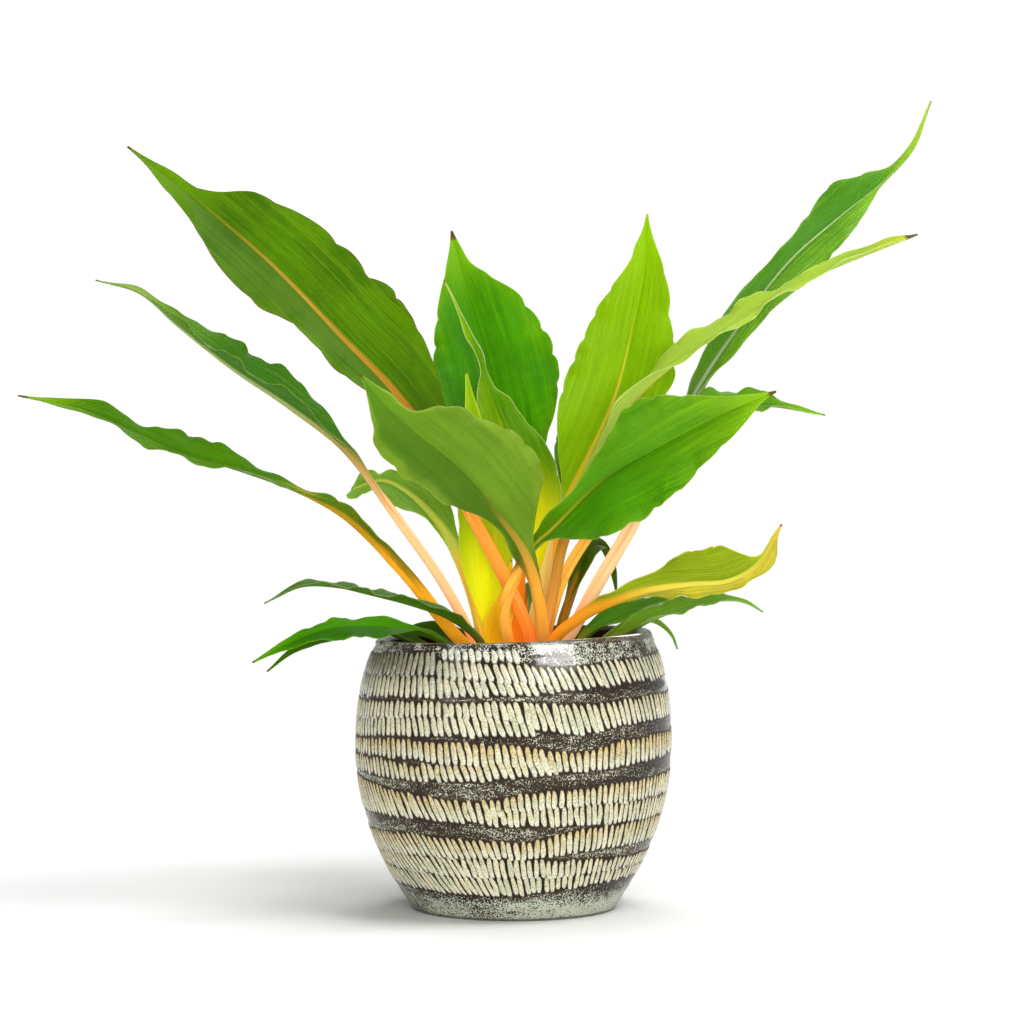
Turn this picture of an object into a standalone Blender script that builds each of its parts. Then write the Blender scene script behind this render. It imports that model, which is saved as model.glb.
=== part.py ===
"""Spider plant with orange leaf stalks, in a round glazed stoneware pot.

Run it with: blender --background --python part.py
Everything is in metres, with +Z up and the plant seen from -Y. The origin is the centre of the pot's flat
foot. The dimensions below are in millimetres, and MM turns them into metres.
"""

import math
from dataclasses import dataclass

import bmesh
import bpy
import numpy as np

MM = 0.001

# The pot: foot, belly and rim, as a potter would measure them
POT_HEIGHT = 131.0
FOOT_RADIUS = 48.5
BELLY_RADIUS = 75.5
BELLY_HEIGHT = 78.0
RIM_RADIUS = 65.4
LOWER_POWER = 2.0
UPPER_POWER = 2.4
WALL = 5.6
WALL_STEPS = 6
FLOOR = 8.0
FOOT_EDGE = 1.2
OUTER_STEPS = 12
LIP_STEPS = 3
POT_SIDES = 56
POT_CREASE = 40.0
RIM_TILT = 0.034

# The soil, and the plain holes that the leaf stalks stand in
SOIL_EDGE = 106.0
SOIL_CROWN = 110.0
SOIL_GAP = 0.3
SOIL_RINGS = (0.75, 0.45, 0.2, 0)
SOIL_HUMPS = 1.1
HUMP_SPREAD = (7.0, 6.0)
STALK_DEPTH = 9.0
STALK_RISE = 4.0
STALK_CLEARANCE = 0.75
FOOT_SHARE = 0.01
HOLE_SIDES = 8
HOLE_SQUARENESS = 0.3
HOLE_HEADROOM = 20.0
SAME_HEIGHT = 0.01

# What all the leaves share
BLADE_THICK = 0.7
KEEL_STALK = 2.4
KEEL_BLADE = 1.2
STALK_FOLD = 42.0
TIP_FOLD = 24.0
TIP_HALF = 0.5
STALK_NECK = 0.7
STALK_TURN = 0.1
STALK_STEPS = 5
STEPS_PER_RIPPLE = 3
SIDE_PHASE = 1.9
BROAD = 15.0
LEAF_CREASE = 50.0
CURVE_STEPS = 24


@dataclass
class Leaf:
    """One leaf, from its foot in the soil to its tip. Lengths are in mm, angles in degrees.

    seat is where it stands in the soil and path is where its midrib runs above it. faces are the directions
    that its upper side looks in, spread evenly from where the blade begins, blade_from, to the tip. widest is
    how far along the blade its left and right halves are widest, halves scales them, and ends says how
    sharply the blade narrows to its base and to its tip.
    """

    name: str
    seat: tuple
    path: tuple
    faces: tuple
    half_width: float
    blade_from: float = 0.45
    widest: tuple = (0.42, 0.42)
    ends: tuple = (1.5, 1.4)
    fold: float = 16.0
    ripple: float = 2.0
    ripples: int = 4
    phase: float = 0.0
    stalk: float = 3.6
    halves: tuple = (1.0, 1.0)
    slot: str = "leaf"


LEAVES = (
    Leaf(
        "leaf_left_high",
        seat=(5, -9.5),
        path=((7, -9, 128), (-21, 3, 188), (-53, 23, 241), (-85, 38, 275), (-120, 46, 311),
              (-160, 52, 345), (-190, 50, 368)),
        faces=((0.3, -1, 0.2), (0.3, -1, 0.1), (0.1, -1, 0.3)),
        half_width=37, blade_from=0.32, widest=(0.58, 0.42), ends=(1.2, 1.7), halves=(0.65, 1),
        phase=1.0,
    ),
    Leaf(
        "leaf_left_middle",
        seat=(-13, -1),
        path=((-22, 0, 134), (-35, 4, 157), (-55, 8, 185), (-81, 12, 219), (-108, 16, 240),
              (-135, 18, 258), (-162, 20, 279), (-181, 20, 295), (-202, 18, 301)),
        faces=((0.5, -0.2, 0.8), (0.5, -0.3, 0.8), (0.3, -0.2, 0.9)),
        half_width=18, blade_from=0.33, widest=(0.5, 0.5), ends=(2, 1.4), fold=34, ripples=5,
    ),
    Leaf(
        "leaf_left_low",
        seat=(-10.5, -9),
        path=((-27, -6, 129), (-54, -8, 162), (-80, -10, 188), (-102, -10, 200), (-130, -8, 210),
              (-159, -5, 218), (-183, -3, 229), (-207, 0, 239), (-237, 0, 245)),
        faces=((0.6, 0.6, 0.6), (0.2, -0.5, 0.9), (0.1, -0.6, 0.8), (0.1, -0.5, 0.8)),
        half_width=8.8, blade_from=0.3, widest=(0.6, 0.6), ends=(2, 1.2), fold=20, ripples=5,
    ),
    Leaf(
        "leaf_left_back",
        seat=(-13, 17),
        path=((-21, 24, 150), (-34, 40, 178), (-52, 58, 197), (-66, 74, 203), (-82, 90, 198)),
        faces=((0.3, -0.9, 0.4), (0.1, -0.8, 0.6), (-0.2, -0.8, 0.7)),
        half_width=16, blade_from=0.4, widest=(0.5, 0.5), ripples=3,
    ),
    Leaf(
        "leaf_front_left",
        seat=(9, -17),
        path=((13, -20, 129), (11, -32, 154), (4, -50, 174), (-10, -75, 194), (-26, -98, 213),
              (-44, -116, 228), (-58, -130, 242), (-67, -138, 253)),
        faces=((-0.2, 1, 0.5), (-0.2, 1, 0.6), (0.0, 1, 0.4)),
        half_width=31, blade_from=0.26, widest=(0.44, 0.7), fold=10, halves=(1, 0.7),
    ),
    Leaf(
        "leaf_front_right",
        seat=(0, -17),
        path=((-2, -17, 129), (-4, -19, 143), (0, -22, 156), (7, -27, 171), (19, -36, 183),
              (40, -52, 204), (62, -66, 218), (86, -80, 232), (104, -90, 240), (118, -96, 246)),
        faces=((0.2, -1, 0.3), (-0.1, -1, 0.4), (0, -1, 0.3)),
        half_width=27, blade_from=0.33, widest=(0.54, 0.42), halves=(0.85, 1),
    ),
    Leaf(
        "leaf_back_tall",
        seat=(-1, 8),
        path=((0, 15, 130), (3, 23, 150), (3, 31, 171), (0, 41, 199), (-5, 51, 231), (-14, 61, 268),
              (-24, 69, 301), (-31, 74, 328)),
        faces=((0, -1, 0.3), (0.1, -1, 0.3), (0, -1, 0.2)),
        half_width=35, blade_from=0.34, widest=(0.5, 0.5), ends=(1.2, 1.3), halves=(0.9, 1),
    ),
    Leaf(
        "leaf_lime_tall",
        seat=(5, 12.5),
        path=((13, 17, 138), (17, 21, 156), (20, 25, 176), (27, 30, 197), (38, 33, 219), (50, 38, 246),
              (58, 44, 277), (64, 49, 307), (66, 53, 335)),
        faces=((0, -1, 0.1), (0, -1, 0.1), (0, -1, 0.1)),
        half_width=27, blade_from=0.37, widest=(0.42, 0.48), slot="leaf_lime",
    ),
    Leaf(
        "leaf_right_curved",
        seat=(11, -2),
        path=((14, -2, 128), (19, -3, 150), (23, -4, 171), (31, -6, 195), (43, -8, 221), (60, -10, 247),
              (86, -10, 268), (113, -8, 286), (141, -5, 301), (167, -2, 312), (193, 0, 322)),
        faces=((-0.6, 0.5, 0.5), (-0.5, 0.3, 0.9), (-0.3, 0.1, 1)),
        half_width=9.5, blade_from=0.46, widest=(0.5, 0.5), fold=24, ripples=5, slot="leaf_lime",
    ),
    Leaf(
        "leaf_right_high",
        seat=(14, -8),
        path=((26, -4, 128), (41, 2, 154), (57, 8, 181), (74, 16, 216), (89, 24, 247), (108, 32, 276),
              (135, 40, 311), (160, 46, 333), (183, 48, 352), (196, 48, 369), (205, 46, 390)),
        faces=((-0.6, -0.9, 0.2), (-0.3, -1, 0.3), (-0.2, -1, 0.2)),
        half_width=18, blade_from=0.46, widest=(0.56, 0.4), ends=(1.5, 1.7), halves=(0.75, 1),
    ),
    Leaf(
        "leaf_right_back",
        seat=(13, 14),
        path=((17, 14, 133), (24, 16, 156), (35, 20, 175), (54, 30, 199), (74, 42, 224), (96, 54, 237),
              (125, 66, 241), (156, 76, 236)),
        faces=((-0.3, -0.7, 0.8), (0, -0.5, 1), (0.2, -0.6, 1)),
        half_width=16, blade_from=0.5,
    ),
    Leaf(
        "leaf_right_keeled",
        seat=(17, -15),
        path=((20, -16, 129), (29, -22, 138), (40, -28, 145), (59, -36, 153), (82, -44, 157),
              (100, -50, 159), (112, -53, 166), (118, -54, 175), (124, -54, 185)),
        faces=((-0.2, 0.9, 0.8), (0, 0.9, 0.6), (-0.6, 0.8, 0.3)),
        half_width=16, blade_from=0.28, widest=(0.5, 0.62), ripples=3,
    ),
    Leaf(
        "leaf_low_right_upper",
        seat=(24, 6),
        path=((34, 10, 129), (48, 16, 137), (63, 22, 143), (75, 28, 146), (84, 32, 146)),
        faces=((0, -0.5, 1), (0, -0.6, 1)),
        half_width=8, blade_from=0.3, ripples=2, ripple=1.0, stalk=2.6, slot="leaf_dark",
    ),
    Leaf(
        "leaf_low_right",
        seat=(24, -9),
        path=((41, -4, 124), (65, -2, 138), (84, 2, 144), (99, 5, 147), (111, 8, 146), (120, 8, 141)),
        faces=((0, -0.4, 1), (0, -0.5, 1)),
        half_width=8, blade_from=0.3, ripple=1.0, stalk=2.6, slot="leaf_dark",
    ),
    Leaf(
        "leaf_low_right_small",
        seat=(27, -1),
        path=((45, 7, 129), (61, 9, 137), (69, 10, 136), (76, 10, 130), (79, 9, 123)),
        faces=((0, -0.6, 1), (0.5, -0.6, 0.6)),
        half_width=3, blade_from=0.4, ripples=2, ripple=0.4, stalk=1.8, slot="leaf_dark",
    ),
    Leaf(
        "leaf_low_left_upper",
        seat=(-9, -17),
        path=((-16, -22, 130), (-30, -27, 141), (-46, -32, 147), (-65, -38, 152), (-83, -42, 156),
              (-99, -45, 156), (-116, -46, 148)),
        faces=((0.3, -0.3, 1), (0, -0.2, 1), (-0.2, -0.2, 1)),
        half_width=9, blade_from=0.2, ripples=5, ripple=1.2, stalk=3, slot="leaf_dark",
    ),
    Leaf(
        "leaf_low_left",
        seat=(-18.5, -9),
        path=((-35, -8, 129), (-52, -16, 134), (-67, -24, 136), (-82, -30, 136), (-95, -35, 133),
              (-109, -38, 127), (-122, -40, 120)),
        faces=((0.2, -0.4, 0.9), (0, -0.6, 0.9), (-0.2, -0.9, 0.6)),
        half_width=9, blade_from=0.24, fold=8, ripple=1.2, stalk=3, slot="leaf_dark",
    ),
    Leaf(
        "leaf_low_left_under",
        seat=(-21, -1),
        path=((-50, 8, 128), (-67, 6, 133), (-88, 2, 129), (-105, 0, 123), (-118, -2, 113)),
        faces=((0, -0.6, 1), (-0.3, -0.8, 0.8)),
        half_width=6, blade_from=0.3, ripples=3, ripple=0.6, stalk=2.4, slot="leaf_dark",
    ),
    Leaf(
        "leaf_low_left_inner",
        seat=(-17, 7),
        path=((-22, 12, 124), (-34, 18, 130), (-44, 22, 133), (-53, 25, 132)),
        faces=((0, -0.7, 0.8), (0, -0.7, 0.8)),
        half_width=7, blade_from=0.3, ripples=2, ripple=0.6, stalk=2.4, slot="leaf_dark",
    ),
    Leaf(
        "leaf_lime_centre",
        seat=(7, 5),
        path=((11, 12, 138), (12, 16, 152), (10, 22, 178), (4, 29, 202), (-4, 34, 226), (-12, 37, 249),
              (-21, 39, 275), (-34, 41, 302)),
        faces=((0.2, -1, 0.1), (0.5, -1, 0.1), (0.9, -0.6, 0.2)),
        half_width=19, blade_from=0.28, widest=(0.32, 0.27), slot="leaf_lime",
    ),
    Leaf(
        "leaf_young_yellow",
        seat=(-8, 6),
        path=((-9, 10, 127), (-12, 12, 156), (-14, 13, 185), (-17, 15, 212), (-20, 17, 236),
              (-23, 19, 257)),
        faces=((0, -1, 0.1), (0, -1, 0.1)),
        half_width=15, blade_from=0.12, widest=(0.4, 0.4), ripple=1.0, ripples=2, stalk=4.2,
        slot="leaf_yellow",
    ),
    Leaf(
        "leaf_sheath_golden",
        seat=(-2.5, -2.5),
        path=((-9, 0, 128), (-5, 3, 143), (-2, 5, 156), (-1, 6, 166)),
        faces=((0.1, -1, 0.1), (0.1, -1, 0.1)),
        half_width=8, blade_from=0.24, widest=(0.3, 0.3), ripple=0.5, ripples=2, stalk=5,
        slot="leaf_yellow",
    ),
    Leaf(
        "leaf_sheath_pale",
        seat=(3.5, -2),
        path=((9, 4, 131), (14, 6, 152), (17, 8, 169), (19, 10, 181)),
        faces=((0.1, -1, 0), (0.1, -1, 0)),
        half_width=5, blade_from=0.2, ripple=0.3, ripples=2, stalk=3, slot="leaf_yellow",
    ),
    Leaf(
        "leaf_back_drooping",
        seat=(19, 12),
        path=((24, 16, 137), (30, 22, 154), (36, 29, 169), (42, 36, 172), (48, 42, 161), (51, 44, 146)),
        faces=((-0.4, -0.9, 0.3), (0, -0.6, 0.9), (0.8, -0.6, 0.3)),
        half_width=7, blade_from=0.4, ripple=0.6, ripples=2, stalk=3.2, slot="leaf_dark",
    ),
    Leaf(
        "leaf_back_left",
        seat=(-5, 14),
        path=((-7, 28, 150), (-9, 52, 185), (-10, 85, 220), (-12, 125, 240), (-14, 165, 238)),
        faces=((0, -1, 0.5), (0, -0.5, 1), (0, 0.1, 1)),
        half_width=24, blade_from=0.4,
    ),
    Leaf(
        "leaf_back_right",
        seat=(10, 21),
        path=((16, 36, 150), (28, 57, 190), (42, 87, 225), (54, 117, 248), (62, 147, 255)),
        faces=((-0.3, -1, 0.5), (-0.2, -0.6, 1), (0, 0, 1)),
        half_width=21, blade_from=0.42,
    ),
    Leaf(
        "leaf_back_low",
        seat=(1, 21),
        path=((5, 38, 135), (5, 62, 148), (6, 95, 150), (7, 130, 135), (8, 155, 112)),
        faces=((0, -0.3, 1), (0, 0.2, 1), (0, 0.8, 0.6)),
        half_width=9, blade_from=0.3, ripple=1.0, stalk=3, slot="leaf_dark",
    ),
)

COLOURS = {
    "pot_glaze": ((0.52, 0.50, 0.42), 0.3),
    "soil": ((0.055, 0.038, 0.026), 0.95),
    "leaf": ((0.13, 0.30, 0.02), 0.45),
    "leaf_lime": ((0.36, 0.55, 0.03), 0.45),
    "leaf_dark": ((0.05, 0.19, 0.01), 0.45),
    "leaf_yellow": ((0.80, 0.60, 0.03), 0.5),
}


def clear_scene():
    for obj in list(bpy.data.objects):
        bpy.data.objects.remove(obj)


def material(slot):
    """The Principled material of one slot, made once and shared after that."""
    if slot in bpy.data.materials:
        return bpy.data.materials[slot]
    colour, roughness = COLOURS[slot]
    made = bpy.data.materials.new(slot)
    made.use_nodes = True
    shader = made.node_tree.nodes["Principled BSDF"]
    shader.inputs["Base Color"].default_value = (*colour, 1)
    shader.inputs["Roughness"].default_value = roughness
    shader.inputs["Metallic"].default_value = 0
    return made


def add_object(name, mesh, slot=None):
    obj = bpy.data.objects.new(name, mesh)
    bpy.context.scene.collection.objects.link(obj)
    if slot:
        mesh.materials.append(material(slot))
    return obj


def mesh_of(name, points, faces):
    """A smooth mesh from points in millimetres."""
    mesh = bpy.data.meshes.new(name)
    mesh.from_pydata([tuple(MM * float(x) for x in point) for point in points], [], faces)
    mesh.shade_smooth()
    return mesh


# The pot


def outer_radius(z):
    """The pot's outer radius at height z: one curve below the belly and one above it."""
    if z < BELLY_HEIGHT:
        drop = (BELLY_RADIUS - FOOT_RADIUS) * ((BELLY_HEIGHT - z) / BELLY_HEIGHT) ** LOWER_POWER
    else:
        rise = (z - BELLY_HEIGHT) / (POT_HEIGHT - BELLY_HEIGHT)
        drop = (BELLY_RADIUS - RIM_RADIUS) * rise**UPPER_POWER
    return BELLY_RADIUS - drop


def inner_radius(z):
    return outer_radius(z) - WALL


def soil_levels():
    """The heights of the rings that the inner wall and the soil share."""
    return np.linspace(FLOOR + WALL, SOIL_EDGE, WALL_STEPS)


def pot_profile():
    """The pot's section: from the middle of its foot, up the outside, over the lip and down to the floor."""
    outside = [(0, 0), (FOOT_RADIUS - FOOT_EDGE, 0)]
    lip_height = POT_HEIGHT - WALL / 2
    outside += [(outer_radius(z), z) for z in np.linspace(FOOT_EDGE, lip_height, OUTER_STEPS)]
    middle = outer_radius(lip_height) - WALL / 2
    turns = np.linspace(0, math.pi, LIP_STEPS + 2)[1:-1]
    lip = [(middle + WALL / 2 * math.cos(a), lip_height + WALL / 2 * math.sin(a)) for a in turns]
    inside = [(inner_radius(z), z) for z in (lip_height, *soil_levels()[::-1])]
    floor = [(inner_radius(FLOOR + WALL) - WALL, FLOOR), (0, FLOOR)]
    return outside + lip + inside + floor


def tilted(x, z):
    """Height z at x, with the handmade rim a little higher on the right; the foot stays flat."""
    return z + RIM_TILT * x * (z / POT_HEIGHT) ** 2


def spun_mesh(name, profile, sides):
    """The profile of (radius, height) points turned about Z into a closed mesh."""
    bm = bmesh.new()
    rail = [bm.verts.new((r * MM, 0, z * MM)) for r, z in profile]
    for a, b in zip(rail, rail[1:]):
        bm.edges.new((a, b))
    bmesh.ops.spin(
        bm, geom=bm.verts[:] + bm.edges[:], cent=(0, 0, 0), axis=(0, 0, 1), angle=math.tau, steps=sides,
        use_merge=True,
    )
    bmesh.ops.remove_doubles(bm, verts=bm.verts, dist=1e-6)
    bmesh.ops.recalc_face_normals(bm, faces=bm.faces)
    mesh = bpy.data.meshes.new(name)
    bm.to_mesh(mesh)
    bm.free()
    mesh.shade_smooth()
    return mesh


def make_pot():
    mesh = spun_mesh("pot", pot_profile(), POT_SIDES)
    for vertex in mesh.vertices:
        vertex.co.z = MM * tilted(vertex.co.x / MM, vertex.co.z / MM)
    mesh.set_sharp_from_angle(angle=math.radians(POT_CREASE))
    return add_object("pot", mesh, "pot_glaze")


# The leaves


def smooth_path(points):
    """A smooth curve through the points, as close-set points and the share of the length at each."""
    points = np.array(points, float)
    ends = np.vstack([2 * points[0] - points[1], points, 2 * points[-1] - points[-2]])
    knots = np.concatenate([[0], np.cumsum(np.linalg.norm(np.diff(ends, axis=0), axis=1) ** 0.5)])
    curve = []
    for i in range(1, len(points)):
        t0, t1, t2, t3 = knots[i - 1 : i + 3]
        p0, p1, p2, p3 = ends[i - 1 : i + 3]
        for t in np.linspace(t1, t2, CURVE_STEPS, endpoint=False):
            a1 = (t1 - t) / (t1 - t0) * p0 + (t - t0) / (t1 - t0) * p1
            a2 = (t2 - t) / (t2 - t1) * p1 + (t - t1) / (t2 - t1) * p2
            a3 = (t3 - t) / (t3 - t2) * p2 + (t - t2) / (t3 - t2) * p3
            b1 = (t2 - t) / (t2 - t0) * a1 + (t - t0) / (t2 - t0) * a2
            b2 = (t3 - t) / (t3 - t1) * a2 + (t - t1) / (t3 - t1) * a3
            curve.append((t2 - t) / (t2 - t1) * b1 + (t - t1) / (t2 - t1) * b2)
    curve = np.array([*curve, points[-1]])
    share = np.concatenate([[0], np.cumsum(np.linalg.norm(np.diff(curve, axis=0), axis=1))])
    return curve, share / share[-1]


def unit(vectors):
    return vectors / np.linalg.norm(vectors, axis=-1, keepdims=True)


def blend_of(values, at, where):
    """Rows of values, given at the places at, read smoothly at where."""
    values = np.array(values, float)
    return np.stack([np.interp(where, at, column) for column in values.T], axis=1)


def half_widths(leaf, share, side):
    """Half the leaf's width at each share of its length: a stalk that thins, then one side of its blade.

    The blade swells from its base to its widest place and narrows from there to its tip.
    """
    thinner = leaf.stalk * STALK_NECK
    stalk = np.interp(share, [0, leaf.blade_from, 1], [leaf.stalk, thinner, TIP_HALF])
    along = np.clip((share - leaf.blade_from) / (1 - leaf.blade_from), 0, 1)
    widest = leaf.widest[side]
    swell = np.sin(math.pi / 2 * np.minimum(along / widest, 1)) ** leaf.ends[0]
    taper = np.cos(math.pi / 2 * np.clip((along - widest) / (1 - widest), 0, 1)) ** leaf.ends[1]
    return stalk + (leaf.half_width * leaf.halves[side] - thinner) * swell * taper


def midrib(leaf):
    """The midrib's curve: upright out of its hole and just above the soil, then along the leaf's path."""
    soil = soil_height(*leaf.seat)
    foot = [(*leaf.seat, soil + rise) for rise in (-STALK_DEPTH, 0, STALK_RISE)]
    return smooth_path([*foot, *leaf.path])


def leaf_frames(leaf, share):
    """The midrib's points, and the directions along the leaf, to its right and out of its upper side."""
    curve, curve_share = midrib(leaf)
    centre = blend_of(curve, curve_share, share)
    tangent = unit(np.gradient(curve, axis=0))
    along = unit(blend_of(tangent, curve_share, share))
    lean = np.array([leaf.path[-1][0] - leaf.seat[0], leaf.path[-1][1] - leaf.seat[1], 0])
    faces = np.vstack([-unit(lean), -unit(lean), unit(np.array(leaf.faces, float))])
    at = np.concatenate([[0, STALK_TURN], np.linspace(leaf.blade_from, 1, len(leaf.faces))])
    up = blend_of(faces, at, share)
    up = unit(up - (up * along).sum(1, keepdims=True) * along)
    return centre, along, np.cross(along, up), up


def leaf_surface(leaf, share, across):
    """Points of the leaf's two sides, for each share of its length and each place across it from -1 to 1."""
    centre, _, right, up = leaf_frames(leaf, share)
    blade = np.clip((share - leaf.blade_from) / (1 - leaf.blade_from), 0, 1)
    fold = np.radians(np.interp(share, [0, leaf.blade_from, (1 + leaf.blade_from) / 2, 1],
                                [STALK_FOLD, STALK_FOLD, leaf.fold, TIP_FOLD]))
    keel = np.interp(share, [0, leaf.blade_from, (1 + leaf.blade_from) / 2, 1],
                     [KEEL_STALK, KEEL_STALK, KEEL_BLADE, BLADE_THICK])
    q = across[None, :]
    left, right_half = (half_widths(leaf, share, side)[:, None] for side in (0, 1))
    reach = np.abs(q) * np.where(q < 0, left, right_half)
    sideways = np.sign(q) * reach * np.cos(fold)[:, None]
    swell = np.sqrt(np.clip(4 * blade * (1 - blade), 0, 1))
    wave = np.sin(math.tau * leaf.ripples * blade[:, None] + leaf.phase + np.where(q < 0, SIDE_PHASE, 0))
    height = reach * np.sin(fold)[:, None]
    height = height + leaf.ripple * q**2 * swell[:, None] * wave
    upper = centre[:, None] + sideways[..., None] * right[:, None] + height[..., None] * up[:, None]
    tilt = np.sign(q) * np.sin(fold)[:, None]
    normal = up[:, None] * np.cos(fold)[:, None, None] - right[:, None] * tilt[..., None]
    normal = np.where((q == 0)[..., None], up[:, None], normal)
    thick = BLADE_THICK + (keel[:, None] - BLADE_THICK) * (1 - np.abs(q)) ** 2
    return upper, upper - unit(normal) * thick[..., None]


def leaf_mesh(leaf):
    """One closed mesh: the upper side, the lower side, the two margins and the two ends.

    Both sides are split into the same triangles, so that a waved blade's sides never cross.
    """
    _, curve_share = midrib(leaf)
    upright = curve_share[2 * CURVE_STEPS]
    stalk_share = np.linspace(upright, leaf.blade_from, STALK_STEPS, endpoint=False)
    blade_steps = STEPS_PER_RIPPLE * leaf.ripples + 1
    share = np.concatenate([[0], stalk_share, np.linspace(leaf.blade_from, 1, blade_steps)])
    strips = 2 if leaf.half_width >= BROAD else 1
    across = np.linspace(-1, 1, 2 * strips + 1)
    upper, lower = leaf_surface(leaf, share, across)
    rows, columns = len(share), len(across)
    points = np.concatenate([upper.reshape(-1, 3), lower.reshape(-1, 3)])
    below = rows * columns

    def top(i, j):
        return i * columns + j

    def bottom(i, j):
        return below + i * columns + j

    faces = []
    for i in range(rows - 1):
        for j in range(columns - 1):
            a, b, c, d = top(i, j), top(i, j + 1), top(i + 1, j + 1), top(i + 1, j)
            faces += [(a, b, c), (a, c, d)]
            faces += [(below + c, below + b, below + a), (below + d, below + c, below + a)]
        for j, turn in ((0, 1), (columns - 1, -1)):
            rim = (top(i, j), top(i + 1, j), bottom(i + 1, j), bottom(i, j))
            faces.append(rim[::turn])
    for i, turn in ((0, 1), (rows - 1, -1)):
        for j in range(columns - 1):
            end = (top(i, j), bottom(i, j), bottom(i, j + 1), top(i, j + 1))
            faces.append(end[::turn])
    return mesh_of(leaf.name, points, faces)


def make_leaf(leaf):
    mesh = leaf_mesh(leaf)
    mesh.set_sharp_from_angle(angle=math.radians(LEAF_CREASE))
    return add_object(leaf.name, mesh, leaf.slot)


# The soil


def soil_height(x, y):
    """The soil's surface: a low mound with shallow humps that fade towards the wall."""
    out = min(1, math.hypot(x, y) / inner_radius(SOIL_EDGE))
    mound = SOIL_EDGE + (SOIL_CROWN - SOIL_EDGE) * (1 - out**2)
    hump = math.sin(x / HUMP_SPREAD[0]) * math.cos(y / HUMP_SPREAD[1])
    return tilted(x, mound + SOIL_HUMPS * (1 - out) * hump)


def soil_profile():
    bottom = FLOOR + SOIL_GAP
    outside = [(0, bottom), (inner_radius(FLOOR + WALL) - WALL - SOIL_GAP, bottom)]
    outside += [(inner_radius(z) - 2 * SOIL_GAP, z) for z in soil_levels()]
    edge = outside[-1][0]
    return outside + [(edge * share, SOIL_EDGE) for share in SOIL_RINGS]


def hole_cutter(leaf):
    """An upright oval plug, a little larger than the foot of the leaf's stalk."""
    start = np.array([0.0, FOOT_SHARE])
    upper, lower = leaf_surface(leaf, start, np.array([-1.0, 0.0, 1.0]))
    foot = np.concatenate([upper[0], lower[0]])
    centre = (foot.min(0) + foot.max(0)) / 2
    _, _, right, up = leaf_frames(leaf, start)
    wide = np.abs((foot - centre) @ right[0]).max() + STALK_CLEARANCE
    deep = np.abs((foot - centre) @ up[0]).max() + STALK_CLEARANCE
    bottom = soil_height(*leaf.seat) - STALK_DEPTH - STALK_CLEARANCE
    ring = []
    for turn in np.linspace(0, math.tau, HOLE_SIDES, endpoint=False) + math.pi / HOLE_SIDES:
        c, s = math.cos(turn), math.sin(turn)
        reach_x = math.copysign(abs(c) ** HOLE_SQUARENESS, c) * wide
        reach_y = math.copysign(abs(s) ** HOLE_SQUARENESS, s) * deep
        ring.append(centre[:2] + reach_x * right[0][:2] + reach_y * up[0][:2])
    points = [(*p, bottom) for p in ring] + [(*p, SOIL_CROWN + HOLE_HEADROOM) for p in ring]
    n = len(ring)
    faces = [tuple(range(n - 1, -1, -1)), tuple(range(n, 2 * n))]
    faces += [(i, (i + 1) % n, n + (i + 1) % n, n + i) for i in range(n)]
    mesh = mesh_of("hole_" + leaf.name, points, faces)
    bm = bmesh.new()
    bm.from_mesh(mesh)
    bmesh.ops.recalc_face_normals(bm, faces=bm.faces)
    bm.to_mesh(mesh)
    bm.free()
    return mesh


def make_soil():
    mesh = spun_mesh("soil", soil_profile(), POT_SIDES)
    for vertex in mesh.vertices:
        x, y, z = vertex.co / MM
        vertex.co.z = MM * (soil_height(x, y) if z > SOIL_EDGE - SAME_HEIGHT else tilted(x, z))
    soil = add_object("soil", mesh, "soil")
    cutters = bpy.data.collections.new("stalk_holes")
    bpy.context.scene.collection.children.link(cutters)
    for leaf in LEAVES:
        cutter = bpy.data.objects.new("hole_" + leaf.name, hole_cutter(leaf))
        cutter.hide_render = True
        cutter.display_type = "WIRE"
        cutters.objects.link(cutter)
    holes = soil.modifiers.new("stalk_holes", "BOOLEAN")
    holes.operation = "DIFFERENCE"
    holes.operand_type = "COLLECTION"
    holes.collection = cutters
    holes.solver = "EXACT"
    return soil


def main():
    clear_scene()
    make_pot()
    make_soil()
    for leaf in LEAVES:
        make_leaf(leaf)


main()
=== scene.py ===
# %% [markdown]
# # A houseplant with orange stalks, in a stroked stoneware pot
#
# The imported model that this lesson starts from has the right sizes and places, but plain faceted leaves
# and flat colours. The lesson keeps those sizes and makes every visible surface again in more detail:
# leaves with ribs, pleats and thin rims, a glazed pot with rows of raised slip strokes, and crumbly soil.
# All lengths are written in millimetres and turned into metres when a mesh is made.

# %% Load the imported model
import math
from dataclasses import dataclass

import bmesh
import bpy
import numpy as np
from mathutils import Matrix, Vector, noise


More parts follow.
